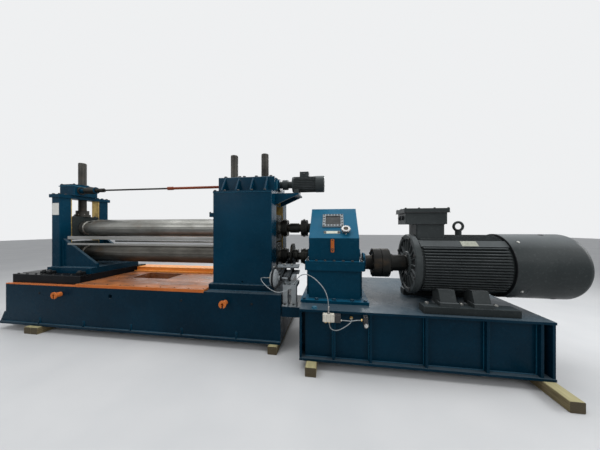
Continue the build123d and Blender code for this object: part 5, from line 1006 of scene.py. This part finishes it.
def drive_base_details():
    runs = []
    for rib in (1320, 1694, 2094, 2664, 3246, 3724, 3825):
        for x in (rib - 1, rib + RIB_THICKNESS + 1):
            if BASE_LEFT < x < BASE_RIGHT:
                for y in (-909, 739):
                    runs.append(((x, y, 126), (x, y, 654)))
    for y in (-909, 739):
        for z in (126, 654):
            runs.append(((BASE_LEFT, y, z), (BASE_RIGHT, y, z)))
    beads("drive_base_welds", runs, 6)
    # The foot bolt takes the lighter enamel: painted highlight.
    bolts("base_front_bolt", [(1489, -928, 680)], UP, 34, PETROL_HIGHLIGHT)


outboard_details()
bed_details()
stand_details()
screw_motor_details()
gearbox_details()
motor_details()
brake_details()
air_details()
drive_base_details()


# Studio.

# Each lamp's name, place, target, size in metres and power in watts.
LAMPS = (
    ("overhead", (-1.0, -0.5, 6.5), (-1.0, 0.0, 0.0), (10.0, 4.5), 420),
    ("front_left", (-5.0, -6.0, 4.0), (-2.0, 0.0, 1.2), (4.0, 3.0), 110),
    ("front_right", (6.0, -6.0, 4.5), (1.8, -0.5, 1.0), (4.0, 3.0), 130),
    ("side", (8.5, -1.0, 4.2), (-2.5, 0.0, 1.7), (3.5, 3.0), 330),
    ("rear", (-1.0, 6.0, 4.5), (-0.5, 0.0, 1.0), (8.0, 2.5), 260),
)
CAMERA_PLACE = (0.75, -3.44, 1.60)
CAMERA_PITCH, CAMERA_PAN = 90, 8.3
CAMERA_LENS, CAMERA_SENSOR, CAMERA_SHIFT = 13.2, 36.0, 0.005


def lay_floor():
    bpy.ops.mesh.primitive_plane_add(size=80, location=(0, 10, 0))
    floor = bpy.context.active_object
    floor.name = "floor"
    s = Shader("pale_floor")
    colour = s.mix(s.spread(s.noise(0.8, detail=3.0), 0.3, 0.7), (0.47, 0.48, 0.49), (0.535, 0.54, 0.545))
    floor.data.materials.append(s.finish(colour, Roughness=0.55))


def light_world():
    """A dim sky that lights the scene, and a pale one that the camera and mirroring surfaces see."""
    world = bpy.data.worlds.new("studio")
    bpy.context.scene.world = world
    world.use_nodes = True
    tree = world.node_tree
    tree.nodes.clear()
    out = tree.nodes.new("ShaderNodeOutputWorld")
    lit = tree.nodes.new("ShaderNodeBackground")
    lit.inputs["Color"].default_value = (0.93, 0.96, 1.0, 1.0)
    lit.inputs["Strength"].default_value = 0.38
    seen = tree.nodes.new("ShaderNodeBackground")
    seen.inputs["Color"].default_value = (0.86, 0.87, 0.88, 1.0)
    seen.inputs["Strength"].default_value = 1.0
    rays = tree.nodes.new("ShaderNodeLightPath")
    choose = tree.nodes.new("ShaderNodeMixShader")
    shown = tree.nodes.new("ShaderNodeMath")
    shown.operation = "MAXIMUM"
    mirrored = tree.nodes.new("ShaderNodeMath")
    mirrored.operation = "MAXIMUM"
    tree.links.new(rays.outputs["Is Glossy Ray"], mirrored.inputs[0])
    tree.links.new(rays.outputs["Is Transmission Ray"], mirrored.inputs[1])
    tree.links.new(rays.outputs["Is Camera Ray"], shown.inputs[0])
    tree.links.new(mirrored.outputs[0], shown.inputs[1])
    tree.links.new(shown.outputs[0], choose.inputs[0])
    tree.links.new(lit.outputs[0], choose.inputs[1])
    tree.links.new(seen.outputs[0], choose.inputs[2])
    tree.links.new(choose.outputs[0], out.inputs[0])


def set_lamps():
    for name, place, target, size, power in LAMPS:
        lamp = bpy.data.lights.new(name, "AREA")
        lamp.shape = "RECTANGLE"
        lamp.size, lamp.size_y = size
        lamp.energy = power
        made = bpy.data.objects.new(name, lamp)
        made.location = place
        made.rotation_euler = (Vector(target) - Vector(place)).to_track_quat("-Z", "Y").to_euler()
        bpy.context.scene.collection.objects.link(made)


def set_camera():
    scene = bpy.context.scene
    camera = bpy.data.cameras.new("photo_camera")
    camera.lens = CAMERA_LENS
    camera.sensor_width = CAMERA_SENSOR
    camera.shift_y = CAMERA_SHIFT
    made = bpy.data.objects.new("photo_camera", camera)
    made.location = CAMERA_PLACE
    made.rotation_euler = (math.radians(CAMERA_PITCH), 0.0, math.radians(CAMERA_PAN))
    scene.collection.objects.link(made)
    scene.camera = made
    scene.view_settings.view_transform = "Standard"


lay_floor()
light_world()
set_lamps()
set_camera()
